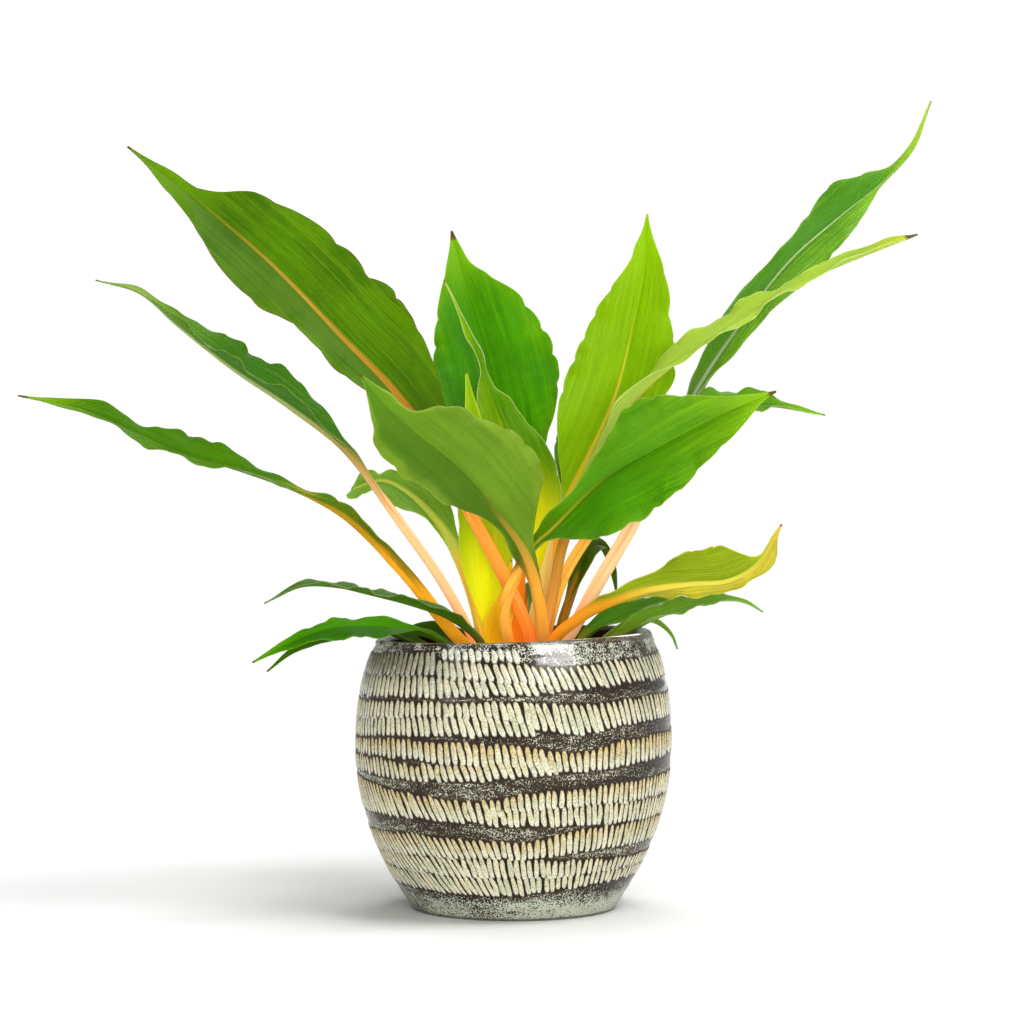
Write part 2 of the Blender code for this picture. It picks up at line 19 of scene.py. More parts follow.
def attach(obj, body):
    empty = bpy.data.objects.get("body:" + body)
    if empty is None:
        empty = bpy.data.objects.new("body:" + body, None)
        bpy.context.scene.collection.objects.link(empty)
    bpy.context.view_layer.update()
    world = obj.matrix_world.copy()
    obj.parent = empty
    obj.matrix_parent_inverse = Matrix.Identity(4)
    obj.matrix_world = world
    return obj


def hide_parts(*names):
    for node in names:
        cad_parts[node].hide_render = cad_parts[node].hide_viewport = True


MM = 0.001
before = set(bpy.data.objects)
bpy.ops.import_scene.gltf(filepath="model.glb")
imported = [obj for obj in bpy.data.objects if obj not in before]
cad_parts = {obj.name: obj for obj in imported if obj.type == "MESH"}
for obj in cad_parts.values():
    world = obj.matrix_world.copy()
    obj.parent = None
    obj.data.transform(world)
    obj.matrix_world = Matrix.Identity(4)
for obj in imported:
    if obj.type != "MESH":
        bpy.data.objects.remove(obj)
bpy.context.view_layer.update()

# %% [markdown]
# ## The camera
#
# A product photograph of a small object is mostly taken from a few steps away with a long lens, because
# that keeps the two sides of the pot nearly parallel. The camera here stands 1.6 m in front at the height
# of the leaves and looks very slightly down. Its focal length is given as pixels of the picture, which is
# how it was measured, and is turned into millimetres of lens for a 36 mm sensor.

# %% Place the camera
CAMERA_AT = (0, -1600, 230)
LOOKS_DOWN = 1.456
FOCAL_PIXELS = 3344
PICTURE_PIXELS = 1024
SENSOR = 36
POT_RIGHT_OF_CENTRE = 1.5


def place_camera():
    camera = bpy.data.cameras.new("photo_camera")
    camera.sensor_width = SENSOR
    camera.lens = FOCAL_PIXELS / PICTURE_PIXELS * SENSOR
    camera.shift_x = -POT_RIGHT_OF_CENTRE / PICTURE_PIXELS
    stand = bpy.data.objects.new("photo_camera", camera)
    stand.location = Vector(CAMERA_AT) * MM
    stand.rotation_euler = (math.radians(90 - LOOKS_DOWN), 0, 0)
    bpy.context.scene.collection.objects.link(stand)
    bpy.context.scene.camera = stand
    return camera


print("lens in mm:", round(place_camera().lens, 2))

# %% [markdown]
# ## Shader maths as Python
#
# A material's pattern is arithmetic on values that change over the surface. Wiring that by hand takes
# dozens of nodes, so a small class wraps one output socket and lets Python's own signs add the Math
# nodes. Colours can't pass through a Math node, because it turns them grey, so they are blended with Mix
# nodes.

# %% A socket that can be added and multiplied
def socket_named(sockets, name):
    """The socket with this place, identifier or shown name."""
    if isinstance(name, int):
        return sockets[name]
    return next(s for s in sockets if name in (s.identifier, s.name))


class Wire:
    """One output socket of a finish, usable in sums."""

    def __init__(self, finish, socket):
        self.finish = finish
        self.socket = socket

    def math(self, operation, *values):
        settings = {"operation": operation}
        return self.finish.node("ShaderNodeMath", settings, dict(enumerate(values)))

    def __add__(self, other):
        return self.math("ADD", self, other)

    def __sub__(self, other):
        return self.math("SUBTRACT", self, other)

    def __rsub__(self, other):
        return self.math("SUBTRACT", other, self)

    def __mul__(self, other):
        return self.math("MULTIPLY", self, other)

    def __truediv__(self, other):
        return self.math("DIVIDE", self, other)

    def __pow__(self, other):
        return self.math("POWER", self, other)

    def __abs__(self):
        return self.math("ABSOLUTE", self)

    __radd__ = __add__
    __rmul__ = __mul__

    def sine(self):
        return self.math("SINE", self)

    def at_least(self, other):
        return self.math("MAXIMUM", self, other)

    def clear_of(self, low, high):
        """0 below low, 1 above high and a smooth step between them."""
        settings = {"interpolation_type": "SMOOTHSTEP"}
        ends = {"Value": self, "From Min": low, "From Max": high}
        return self.finish.node("ShaderNodeMapRange", settings, ends)


# %% [markdown]
# Every other node comes from one method. It takes the node's type, its settings, which are set first
# because they can change which sockets the node shows, and then what goes into its sockets: a plain
# number, a colour or a wire.

# %% A finish: one material and its nodes
class Finish:
    def __init__(self, name):
        self.material = bpy.data.materials.new(name)
        self.material.use_nodes = True
        self.tree = self.material.node_tree
        self.shader = self.tree.nodes["Principled BSDF"]
        self.result = self.tree.nodes["Material Output"]

    def feed(self, socket, value):
        if isinstance(value, Wire):
            self.tree.links.new(value.socket, socket)
        else:
            socket.default_value = value

    def node(self, kind, settings, sockets, output=0):
        made = self.tree.nodes.new(kind)
        for name, value in settings.items():
            setattr(made, name, value)
        for name, value in sockets.items():
            self.feed(socket_named(made.inputs, name), value)
        return Wire(self, socket_named(made.outputs, output))

    def mix(self, share, first, second):
        sockets = {"Factor_Float": share, "A_Color": first, "B_Color": second}
        return self.node("ShaderNodeMix", {"data_type": "RGBA"}, sockets, "Result_Color")

    def vector(self, x, y, z):
        return self.node("ShaderNodeCombineXYZ", {}, {"X": x, "Y": y, "Z": z})

    def stored(self, name):
        """A number that was stored on the mesh's points."""
        return self.node("ShaderNodeAttribute", {"attribute_name": name}, {}, "Fac")

    def place(self):
        return self.node("ShaderNodeTexCoord", {}, {}, "Object")

    def in_mm(self, axis):
        """How far a point of the surface lies along X, Y or Z."""
        return self.node("ShaderNodeSeparateXYZ", {}, {"Vector": self.place()}, axis) / MM

    def noise(self, vector, scale, detail=2, rough=0.5):
        """Clouds around 0.5. scale is how many lie in one unit of the vector, detail adds finer ones."""
        sockets = {"Vector": vector, "Scale": scale, "Detail": detail, "Roughness": rough}
        return self.node("ShaderNodeTexNoise", {}, sockets)

    def bump(self, height, strength, deep):
        """A relief that is this many millimetres deep."""
        sockets = {"Height": height, "Strength": strength, "Distance": deep * MM}
        return self.node("ShaderNodeBump", {}, sockets)

    def finish_with(self, **inputs):
        for name, value in inputs.items():
            self.feed(self.shader.inputs[name.replace("_", " ")], value)
        return self.material


def tone(code):
    """A web colour such as #3C9A0B as the linear colour that a shader works in."""
    parts = [int(code[i : i + 2], 16) / 255 for i in (1, 3, 5)]
    return (*[c / 12.92 if c <= 0.04045 else ((c + 0.055) / 1.055) ** 2.4 for c in parts], 1)


LIGHT_LEVEL = 1.04


def seen(code):
    """The paint of something that shows this colour in the studio, where the light is a little over 1."""
    return (*[c / LIGHT_LEVEL for c in tone(code)[:3]], 1)


print("mid leaf green in linear light:", [round(c, 3) for c in seen("#3C9A0B")])

# %% [markdown]
# ## Meshes from points
#
# Most pieces here are grids of points that numpy works out in one go. Modifiers could make some of them,
# but a grid gives control of every rim, and its points can carry numbers for the finish. One helper turns
# points in millimetres and faces into a smooth mesh, and another puts an object in the scene, lets it
# ride on the model's one body and hides the plain node of the model that it stands for.

# %% Helpers for meshes and pieces
def mesh_of(name, points, faces, crease=None):
    mesh = bpy.data.meshes.new(name)
    mesh.from_pydata((np.asarray(points, float) * MM).tolist(), [], faces)
    mesh.shade_smooth()
    if crease:
        mesh.set_sharp_from_angle(angle=math.radians(crease))
    return mesh


def store(mesh, name, values):
    """Keeps one number for each point of the mesh, for the finish to read."""
    kept = mesh.attributes.new(name, "FLOAT", "POINT")
    kept.data.foreach_set("value", np.ravel(values).astype(np.float32))


def add_piece(name, mesh, material, slot, stands_for=None):
    piece = bpy.data.objects.new(name, mesh)
    bpy.context.scene.collection.objects.link(piece)
    mesh.materials.append(material)
    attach(piece, "root")
    if stands_for:
        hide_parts(stands_for)
    return piece


def unit(vectors):
    return vectors / np.linalg.norm(vectors, axis=-1, keepdims=True)


print("a vector made one long:", unit(np.array([3.0, 4.0])))

# %% [markdown]
# ## The pot's shape
#
# The pot is thrown on a wheel, so its wall is one profile turned about the upright axis. Two power curves
# meet at the belly: one falls to the foot and a sharper one to the rim. The rim of a handmade pot is
# seldom level, and this one stands a little higher on the right, so heights are tilted more and more
# towards the top. A drawn curve with a Screw modifier would give the same body of revolution. A formula
# was chosen, because the strokes and the soil can then ask it for the radius at any height.

# %% The profile of the pot
POT_HEIGHT = 131.0
FOOT_RADIUS = 48.5
BELLY_RADIUS = 75.5
BELLY_HEIGHT = 78.0
RIM_RADIUS = 65.4
LOWER_POWER = 2.0
UPPER_POWER = 2.4
WALL = 5.6
FLOOR = 8.0
FOOT_EDGE = 1.2
RIM_TILT = 0.034


def outer_radius(z):
    z = np.asarray(z, float)
    below = (BELLY_RADIUS - FOOT_RADIUS) * np.clip((BELLY_HEIGHT - z) / BELLY_HEIGHT, 0, 1) ** LOWER_POWER
    rise = np.clip((z - BELLY_HEIGHT) / (POT_HEIGHT - BELLY_HEIGHT), 0, 1)
    return BELLY_RADIUS - below - (BELLY_RADIUS - RIM_RADIUS) * rise**UPPER_POWER


def tilt(x, z):
    return RIM_TILT * x * (z / POT_HEIGHT) ** 2


def tilted(x, z):
    return z + tilt(x, z)


print("radius at the rim and the foot:", outer_radius(POT_HEIGHT), outer_radius(0))

# %% [markdown]
# The finer wall has a rounded foot and lip, and the faint rings that a potter's fingers leave as the
# wheel turns. They are a tenth of a millimetre high, which is enough for the glaze to catch the light
# unevenly.

# %% Turn the pot
POT_SIDES = 224
FOOT_STEPS = 6
OUTER_STEPS = 110
LIP_STEPS = 11
INNER_STEPS = 30
RING_DEPTH = 0.09
RING_SPACING = 5.3
WOBBLE = 0.12
WOBBLE_LOBES = 3
WOBBLE_TWIST = 30
WALL_CREASE = 50


def pot_profile():
    """(radius, height) from the middle of the foot, up the outside, over the lip and down to the floor."""
    inset = float(outer_radius(FOOT_EDGE)) - FOOT_EDGE
    turns = np.linspace(-math.pi / 2, 0, FOOT_STEPS, endpoint=False)
    foot = [(inset + FOOT_EDGE * math.cos(a), FOOT_EDGE * (1 + math.sin(a))) for a in turns]
    lip_height = POT_HEIGHT - WALL / 2
    outside = [(float(outer_radius(z)), z) for z in np.linspace(FOOT_EDGE, lip_height, OUTER_STEPS)]
    middle = float(outer_radius(lip_height)) - WALL / 2
    turns = np.linspace(0, math.pi, LIP_STEPS + 2)[1:-1]
    lip = [(middle + WALL / 2 * math.cos(a), lip_height + WALL / 2 * math.sin(a)) for a in turns]
    inner_heights = np.linspace(lip_height, FLOOR + WALL, INNER_STEPS)
    inside = [(float(outer_radius(z)) - WALL, z) for z in inner_heights]
    floor = [(float(outer_radius(FLOOR + WALL)) - 2 * WALL, FLOOR)]
    return np.array([*foot, *outside, *lip, *inside, *floor])


def spun(profile, sides):
    """Points and faces of a profile turned about Z and closed at the middle of both its ends."""
    angles = np.linspace(0, math.tau, sides, endpoint=False)
    radius, height = profile[:, 0][:, None], profile[:, 1][:, None]
    points = np.stack([radius * np.sin(angles), -radius * np.cos(angles), height + 0 * angles], -1)
    rows = len(profile)
    faces = []
    for i in range(rows - 1):
        for j in range(sides):
            k = (j + 1) % sides
            faces.append((i * sides + j, i * sides + k, (i + 1) * sides + k, (i + 1) * sides + j))
    ends = [(0, 0, profile[0, 1]), (0, 0, profile[-1, 1])]
    count = rows * sides
    for j in range(sides):
        k = (j + 1) % sides
        faces.append((count, k, j))
        faces.append((count + 1, (rows - 1) * sides + j, (rows - 1) * sides + k))
    return np.vstack([points.reshape(-1, 3), ends]), faces


def make_pot_wall(finish):
    points, faces = spun(pot_profile(), POT_SIDES)
    x, y, z = points.T
    out = np.hypot(x, y)
    turn = np.arctan2(x, -y)
    push = RING_DEPTH * np.sin(z * math.tau / RING_SPACING + 2 * np.sin(turn))
    push = push + WOBBLE * np.sin(WOBBLE_LOBES * turn + z / WOBBLE_TWIST) * (z / POT_HEIGHT)
    stretch = 1 + (push * (z > FOOT_EDGE) - WOBBLE) / np.maximum(out, 1)
    points = np.stack([x * stretch, y * stretch, tilted(x * stretch, z)], axis=1)
    mesh = mesh_of("pot_wall", points, faces, crease=WALL_CREASE)
    print("pot wall:", len(mesh.polygons), "faces")
    return add_piece("pot_wall", mesh, finish, "pot_glaze", stands_for="pot")


print("points in the pot's profile:", len(pot_profile()))

# %% [markdown]
# ## The glaze
#
# The wall is dark brown stoneware under a clear gloss, and a pale mint glaze has been sponged or
# spattered on it in specks. The specks are dense at the rim and the foot and thin out between the rows of
# strokes. A painted picture could show them, but it would blur in a close view, and noise stays sharp.
# Fine noise that is cut at a level makes such specks, and moving the level with height makes them dense
# or sparse. In this recipe and the later ones, a number that multiplies a mask is how strongly it shows,
# and a pair in clear_of is where it starts and where it is full.

# %% The wall's finish
CLAY_DARK = tone("#281E17")
CLAY_WARM = tone("#483828")
MINT = tone("#AFB8A2")
MINT_PALE = tone("#CED3C0")
MINT_FOOT = tone("#C2C8B4")
INSIDE_DARK = seen("#33261F")
TOP_BAND = (117, 124)
FOOT_BAND = (6, 16)
LIP_LINE = (129.6, 130.6)
FOOT_LINE = (0.8, 1.8)
GLOSSY_BAND = (85, 116)
SPECK_LEVEL = (0.5, 0.54)
FLATTENED = (0.3, 0.3, 1.6)
GLAZE_BUMP = 0.4
GLAZE_RELIEF = 0.12
CLEAR_COAT = {"Coat_Roughness": 0.1, "Coat_IOR": 1.5}


def wall_finish():
    f = Finish("speckled_stoneware_glaze")
    place, height = f.place(), f.in_mm("Z")
    inward, in_row = f.stored("inside"), f.stored("in_row")
    flat = f.node("ShaderNodeVectorMath", {"operation": "MULTIPLY"}, {0: place, 1: FLATTENED})
    fine, coarse = f.noise(place, 1400, 2, 0.6), f.noise(flat, 420, 3, 0.6)
    cloud, blotch = f.noise(flat, 60, 2), f.noise(place, 190, 3, 0.6)
    top = height.clear_of(*TOP_BAND)
    foot = 1 - height.clear_of(*FOOT_BAND)
    grain = fine * 0.82 + coarse * 0.18
    cover = 0.04 * top + 0.1 * foot + (cloud - 0.5) * 0.36 + (blotch - 0.5) * (0.16 + 0.36 * top) - 0.05
    # In a row the specks are thinned and the brown is kept dark, partly as painted shade in the grooves.
    speck = (grain + cover - 0.2 * in_row).clear_of(*SPECK_LEVEL)
    brown = f.mix(cloud.clear_of(0.3, 0.7) * (1 - in_row), CLAY_DARK, CLAY_WARM)
    mint = f.mix(top.at_least(coarse.clear_of(0.45, 0.7)), MINT, MINT_PALE)
    mint = f.mix(foot, mint, MINT_FOOT)
    colour = f.mix(speck * 0.9, brown, mint)
    bare_lines = height.clear_of(*LIP_LINE) + (1 - height.clear_of(*FOOT_LINE))
    colour = f.mix(bare_lines * 0.75, colour, CLAY_WARM)
    colour = f.mix(inward, colour, f.mix(speck * 0.18, INSIDE_DARK, CLAY_WARM))
    relief = f.bump(grain * 0.6 + speck * 0.4, GLAZE_BUMP, GLAZE_RELIEF)
    gloss = (0.15 + 0.85 * height.clear_of(*GLOSSY_BAND)) * (1 - in_row * 0.8)
    f.finish_with(**CLEAR_COAT, Coat_Weight=gloss, Specular_IOR_Level=0.1)
    return f.finish_with(Base_Color=colour, Roughness=0.17 + 0.16 * grain, Normal=relief)


glazed_wall = wall_finish()
print("the wall's finish has", len(glazed_wall.node_tree.nodes), "nodes")

# %% [markdown]
# ## The rows of strokes
#
# Rows of short slip strokes run round the pot, each stroke a little pillow of pale clay with round ends.
# A bump could fake them, but only real relief shows at the pot's outline and catches the light as slip
# does, so each stroke is modelled. The potter worked by hand, so the rows rise and fall, overlap in
# places, and slant: strokes lean to the left at their tops where the hand was turning. Each row is
# written down as the heights of its tops and feet at a few angles round the pot, counted from the front
# with right positive. The back isn't seen, so there the rows run on with a gentle wave between the values
# of the two sides.

# %% Where the rows of strokes run
@dataclass
class Row:
    """A row of strokes: (angle, height) of its tops and of its feet, (angle, slant), and where it runs.

    The slant is how far a stroke moves to the right for each millimetre up. count strokes would go all
    round, turned by a share of their spacing. ochre is how much bare slip shows, and a veil covers a row.
    """

    tops: tuple
    feet: tuple
    slant: tuple
    count: int
    turned: float
    ochre: float = 0.5
    runs: tuple = (-180, 180)
    veil: float = 0.0


ROWS = (
    Row(
        tops=((-31, 128.6), (-14, 128.2), (4, 127.4)),
        feet=((-31, 123.3), (-14, 122.8), (4, 121.4)),
        slant=((0, -0.3),), count=122, turned=0.4, ochre=0, runs=(-31, 4), veil=1,
    ),
    Row(
        tops=((-75, 125), (-44, 127.2), (-33, 127.4), (-29, 123.6), (-14, 122.8), (4, 121.4), (20, 119.2),
              (47, 120.8), (71, 121)),
        feet=((-77, 115.1), (-36, 115.8), (-14, 113.4), (6, 111.6), (16, 107.8), (45, 109.8), (67, 109.7)),
        slant=((-60, -0.03), (-36, -0.1), (-24, -0.34), (0, -0.42), (20, -0.42), (60, -0.28)),
        count=122, turned=0, ochre=0.2,
    ),
    Row(
        tops=((-78, 116), (-36, 116.8), (-14, 115.2), (9, 113.4), (17, 112.2)),
        feet=((-76, 104.6), (-34, 105.8), (-2, 106.7), (17, 107)),
        slant=((-60, -0.05), (-30, -0.2), (-12, -0.42), (17, -0.46)),
        count=122, turned=0.5, ochre=0.15, runs=(-170, 15),
    ),
    Row(
        tops=((-77, 102.8), (-34, 104.8), (2, 104.3), (25, 102.5), (34, 101.7), (44, 102.8), (64, 103.2)),
        feet=((-75, 93.3), (-34, 96.6), (-4, 95.9), (3, 93), (9, 90), (24, 88.1), (43, 90.9), (64, 91.6)),
        slant=((-60, -0.02), (-20, -0.14), (0, -0.27), (24, -0.3), (60, -0.18)),
        count=133, turned=0.2, ochre=0.3,
    ),
    Row(
        tops=((-76, 94.4), (-49, 97.2), (-9, 99.1), (7, 97.2)),
        feet=((-77, 84.9), (-48, 87.3), (-9, 88.6), (7, 88.0)),
        slant=((-60, -0.04), (-20, -0.3), (7, -0.36)),
        count=133, turned=0.7, ochre=0.2, runs=(-175, 6),
    ),
    Row(
        tops=((-77, 84), (-48, 86.6), (-21, 86.2), (5, 84.1), (20, 80.5), (27, 80.8), (42, 84.7),
              (72, 85.4)),
        feet=((-79, 77.0), (-33, 76.6), (-25, 75.0), (-2, 74.4), (20, 70.9), (42, 72.2), (72, 74.7)),
        slant=((-60, -0.05), (-10, -0.15), (15, -0.22), (30, 0), (60, 0.04)),
        count=136, turned=0, ochre=1.0,
    ),
    Row(
        tops=((-76, 76.2), (-54, 76.6), (-38, 75), (-13, 76.9), (9, 78.9), (17, 78)),
        feet=((-78, 68.3), (-38, 66.7), (-13, 67.5), (9, 69.9), (17, 70.6)),
        slant=((-60, -0.2), (-30, -0.22), (-10, -0.36), (17, -0.25)),
        count=136, turned=0.5, ochre=0.8, runs=(-160, 17),
    ),
    Row(
        tops=((-75, 65.7), (-49, 62.2), (-29, 59.8), (-13, 58.3), (5, 62.2), (29, 64), (48, 65.3),
              (68, 66.3)),
        feet=((-79, 48.5), (-40, 49.0), (-22, 47.8), (-12, 48.4), (0, 53.4), (26, 54.8), (69, 56.4)),
        slant=((-60, -0.36), (-28, -0.42), (-8, -0.12), (30, -0.08), (60, 0)),
        count=144, turned=0, ochre=0.9,
    ),
    Row(
        tops=((-12, 54), (2, 56.6), (28, 56.2), (50, 55.9), (67, 56.2)),
        feet=((-14, 46.6), (10, 46.6), (26, 45.8), (68, 46.2)),
        slant=((-12, -0.1), (30, -0.14), (67, 0.04)),
        count=144, turned=0.45, ochre=0.4, runs=(-11, 150),
    ),
    Row(
        tops=((-78, 39.6), (-42, 41.7), (-14, 40), (6, 39.2), (18, 42.3), (28, 45.4), (65, 46.2)),
        feet=((-80, 29.6), (-34, 30.7), (2, 30.6), (19, 32.1), (28, 33.5), (67, 34.8)),
        slant=((-60, -0.5), (-28, -0.42), (-12, -0.28), (6, -0.08), (60, -0.06)),
        count=137, turned=0, ochre=0.85,
    ),
    Row(
        tops=((-68, 30.8), (-34, 31.8), (2, 31.6), (15, 30.4), (65, 28.9)),
        feet=((-68, 22.7), (-26, 21.4), (11, 21.4), (42, 22.4), (67, 23.2)),
        slant=((-60, -0.55), (-30, -0.46), (-8, -0.14), (40, -0.1), (67, 0.12)),
        count=132, turned=0.5, ochre=0.25,
    ),
    Row(
        tops=((-65, 23.4), (-26, 22.7), (11, 22.6), (41, 23.4), (67, 24)),
        feet=((-68, 14.4), (-23, 12.7), (2, 12.8), (22, 15.3), (45, 17.1), (67, 18.0)),
        slant=((-60, -0.6), (-20, -0.46), (0, -0.22), (30, -0.14), (67, -0.05)),
        count=126, turned=0.1, ochre=0.1,
    ),
)
BACK_FROM = 80
BACK_WAVE = 0.8
BACK_WAVES = 4
VEIL_FADE = 2.4
FAR_OUTSIDE = -9.0
ROW_BORDER = 0.5


def row_height(knots, angle):
    """A row's height at an angle, smooth round the whole pot."""
    at, value = (np.array(column, float) for column in zip(*knots))
    past = np.maximum(np.abs(angle) - BACK_FROM, 0)
    return np.interp(angle, at, value, period=360) + BACK_WAVE * np.sin(np.radians(BACK_WAVES * past))


def in_rows(angle, height):
    """1 inside a row of strokes and 0 outside all of them, with a soft border."""
    deepest = np.full(np.shape(angle), FAR_OUTSIDE)
    for row in ROWS:
        inside = np.minimum(row_height(row.tops, angle) - height, height - row_height(row.feet, angle))
        runs = (angle >= row.runs[0]) & (angle <= row.runs[1])
        deepest = np.maximum(deepest, np.where(runs, inside, FAR_OUTSIDE) - row.veil * VEIL_FADE)
    return np.clip(deepest + ROW_BORDER, 0, 1)


print(len(ROWS), "rows of strokes")

# %% [markdown]
# One stroke is a grid of points laid on the wall: its outline is long with tapered ends, its top is
# crowned by half a millimetre, and its border is sunk just under the glaze so that no gap can show. A
# flat face closes it underneath. Width, length and slant all vary a little, from a seeded generator, so
# each run gives the same pot.

# %% Lay the strokes on the wall
STROKE_GROOVE = 0.06
STROKE_RELIEF = 0.5
STROKE_SINK = 0.12
STROKE_LONG = (0, 0.035, 0.11, 0.26, 0.5, 0.74, 0.89, 0.965, 1)
STROKE_ACROSS = (-1, -0.9, -0.5, 0.5, 0.9, 1)
STROKE_END = 2.3
STROKE_REACH = 0.5
STROKE_TAPER = 0.26
STROKE_BULGE = 0.07
STROKE_BULGES = 1.3
STROKE_CREASE = 75
PLACE_JITTER = 0.05
END_JITTER = 0.4
SLANT_JITTER = 0.03
BEND_JITTER = 0.2
WIDTH_RANGE = (0.9, 1.07)


def stroke_points(angle, foot, top, slant, half, bend, bulge):
    """A grid of points for one stroke, along it and across it, and how near each is to its border."""
    share, q = np.array(STROKE_LONG)[:, None], np.array(STROKE_ACROSS)[None, :]
    length = top - foot
    from_end = np.minimum(np.minimum(share, 1 - share) * length / (half * STROKE_END), 1)
    width = half * np.sqrt(np.clip(1 - (1 - from_end) ** 2, 0.02, 1)) * (1 + STROKE_TAPER * (0.5 - share))
    width = width * (1 + STROKE_BULGE * np.sin(math.tau * (STROKE_BULGES * share + bulge)))
    crown = (1 - q**6) * np.sqrt(width / half) * (from_end > 0)
    z = foot + share * length + 0 * q
    sideways = slant * (share - 0.5) * length + bend * np.sin(math.tau * (share + bulge)) + q * width
    wall = outer_radius(z) - WOBBLE
    turn = math.radians(angle) + sideways / wall
    radius = wall - STROKE_SINK + (STROKE_RELIEF + STROKE_SINK) * crown
    x = radius * np.sin(turn)
    border = np.maximum(np.abs(q), 1 - from_end)
    return np.stack([x, -radius * np.cos(turn), tilted(x, z)], -1), share + 0 * q, border


def row_strokes(row, chance):
    """The strokes of one row as (points, share along the stroke, nearness to its border, its own tone)."""
    middle = np.mean([z for _, z in row.tops + row.feet])
    half = (math.tau * outer_radius(middle) / row.count - STROKE_GROOVE) / 2
    slant_at, slants = zip(*row.slant)
    for i in range(row.count):
        angle = (i + row.turned + chance.normal(0, PLACE_JITTER)) * 360 / row.count - 180
        if not row.runs[0] <= angle <= row.runs[1]:
            continue
        top = row_height(row.tops, angle) + STROKE_REACH + chance.normal(0, END_JITTER)
        foot = row_height(row.feet, angle) - STROKE_REACH + chance.normal(0, END_JITTER)
        slant = np.interp(angle, slant_at, slants, period=360) + chance.normal(0, SLANT_JITTER)
        own_half = half * chance.uniform(*WIDTH_RANGE)
        bend, bulge, own = chance.normal(0, BEND_JITTER), chance.uniform(0, 1), chance.uniform(0, 1)
        yield *stroke_points(angle, foot, top, slant, own_half, bend, bulge), own


def make_strokes(finish):
    chance = np.random.default_rng(11)
    points, faces, notes = [], [], []
    rows, columns = len(STROKE_LONG), len(STROKE_ACROSS)
    around = [(0, j) for j in range(columns)] + [(i, columns - 1) for i in range(1, rows)]
    around += [(rows - 1, j) for j in range(columns - 2, -1, -1)] + [(i, 0) for i in range(rows - 2, 0, -1)]
    for row in ROWS:
        for grid, share, border, own in row_strokes(row, chance):
            first = len(points) * rows * columns
            points.append(grid.reshape(-1, 3))
            notes.append([share.ravel(), border.ravel()])
            notes[-1] += [np.full(share.size, value) for value in (own, row.ochre, row.veil)]
            for i in range(rows - 1):
                for j in range(columns - 1):
                    a = first + i * columns + j
                    faces.append((a, a + 1, a + columns + 1, a + columns))
            faces.append([first + i * columns + j for i, j in around[::-1]])
    mesh = mesh_of("slip_strokes", np.vstack(points), faces, crease=STROKE_CREASE)
    for name, values in zip(("share", "border", "tone", "ochre", "veil"), np.concatenate(notes, axis=1)):
        store(mesh, "stroke_" + name, values)
    print(len(points), "strokes,", len(mesh.polygons), "faces")
    return add_piece("pot_slip_strokes", mesh, finish, "pot_glaze")


print("points in a stroke:", len(STROKE_LONG) * len(STROKE_ACROSS))

# %% [markdown]
# Where the glaze ran off the top of a stroke, the slip shows ochre, and where it pooled at the foot it is
# a pale greenish cream. At worn spots the glaze is thin and the brown body shows through. Along each
# stroke's border a dark line is painted: partly the brown body in the gap between strokes, and partly
# painted shade where the stroke's edge dips into that gap. The strokes near the rim on the left are
# painted olive and darker: painted shade of the leaves that hang over the rim there, tinted by their
# green. A pale veil of glaze lies over the short row at the top. All of that is one finish: what differs
# from stroke to stroke was stored on the mesh, so more than a thousand strokes need no more than one
# material.

# %% The strokes' finish
CREAM = tone("#CFC8A4")
CREAM_GREEN = tone("#BABE9E")
CREAM_FOOT = tone("#DCDAC6")
CREAM_RIM = tone("#F4F2E6")
OCHRE = tone("#BE9C4A")
STROKE_WEAR_AND_SHADE = tone("#2C2017")
LEFT_RIM_SHADE = tone("#4C4A30")
STROKE_VEIL = tone("#A4AE96")
LEFT_SHADE_ACROSS = (-62, -16)
LEFT_SHADE_UP = (106, 121)


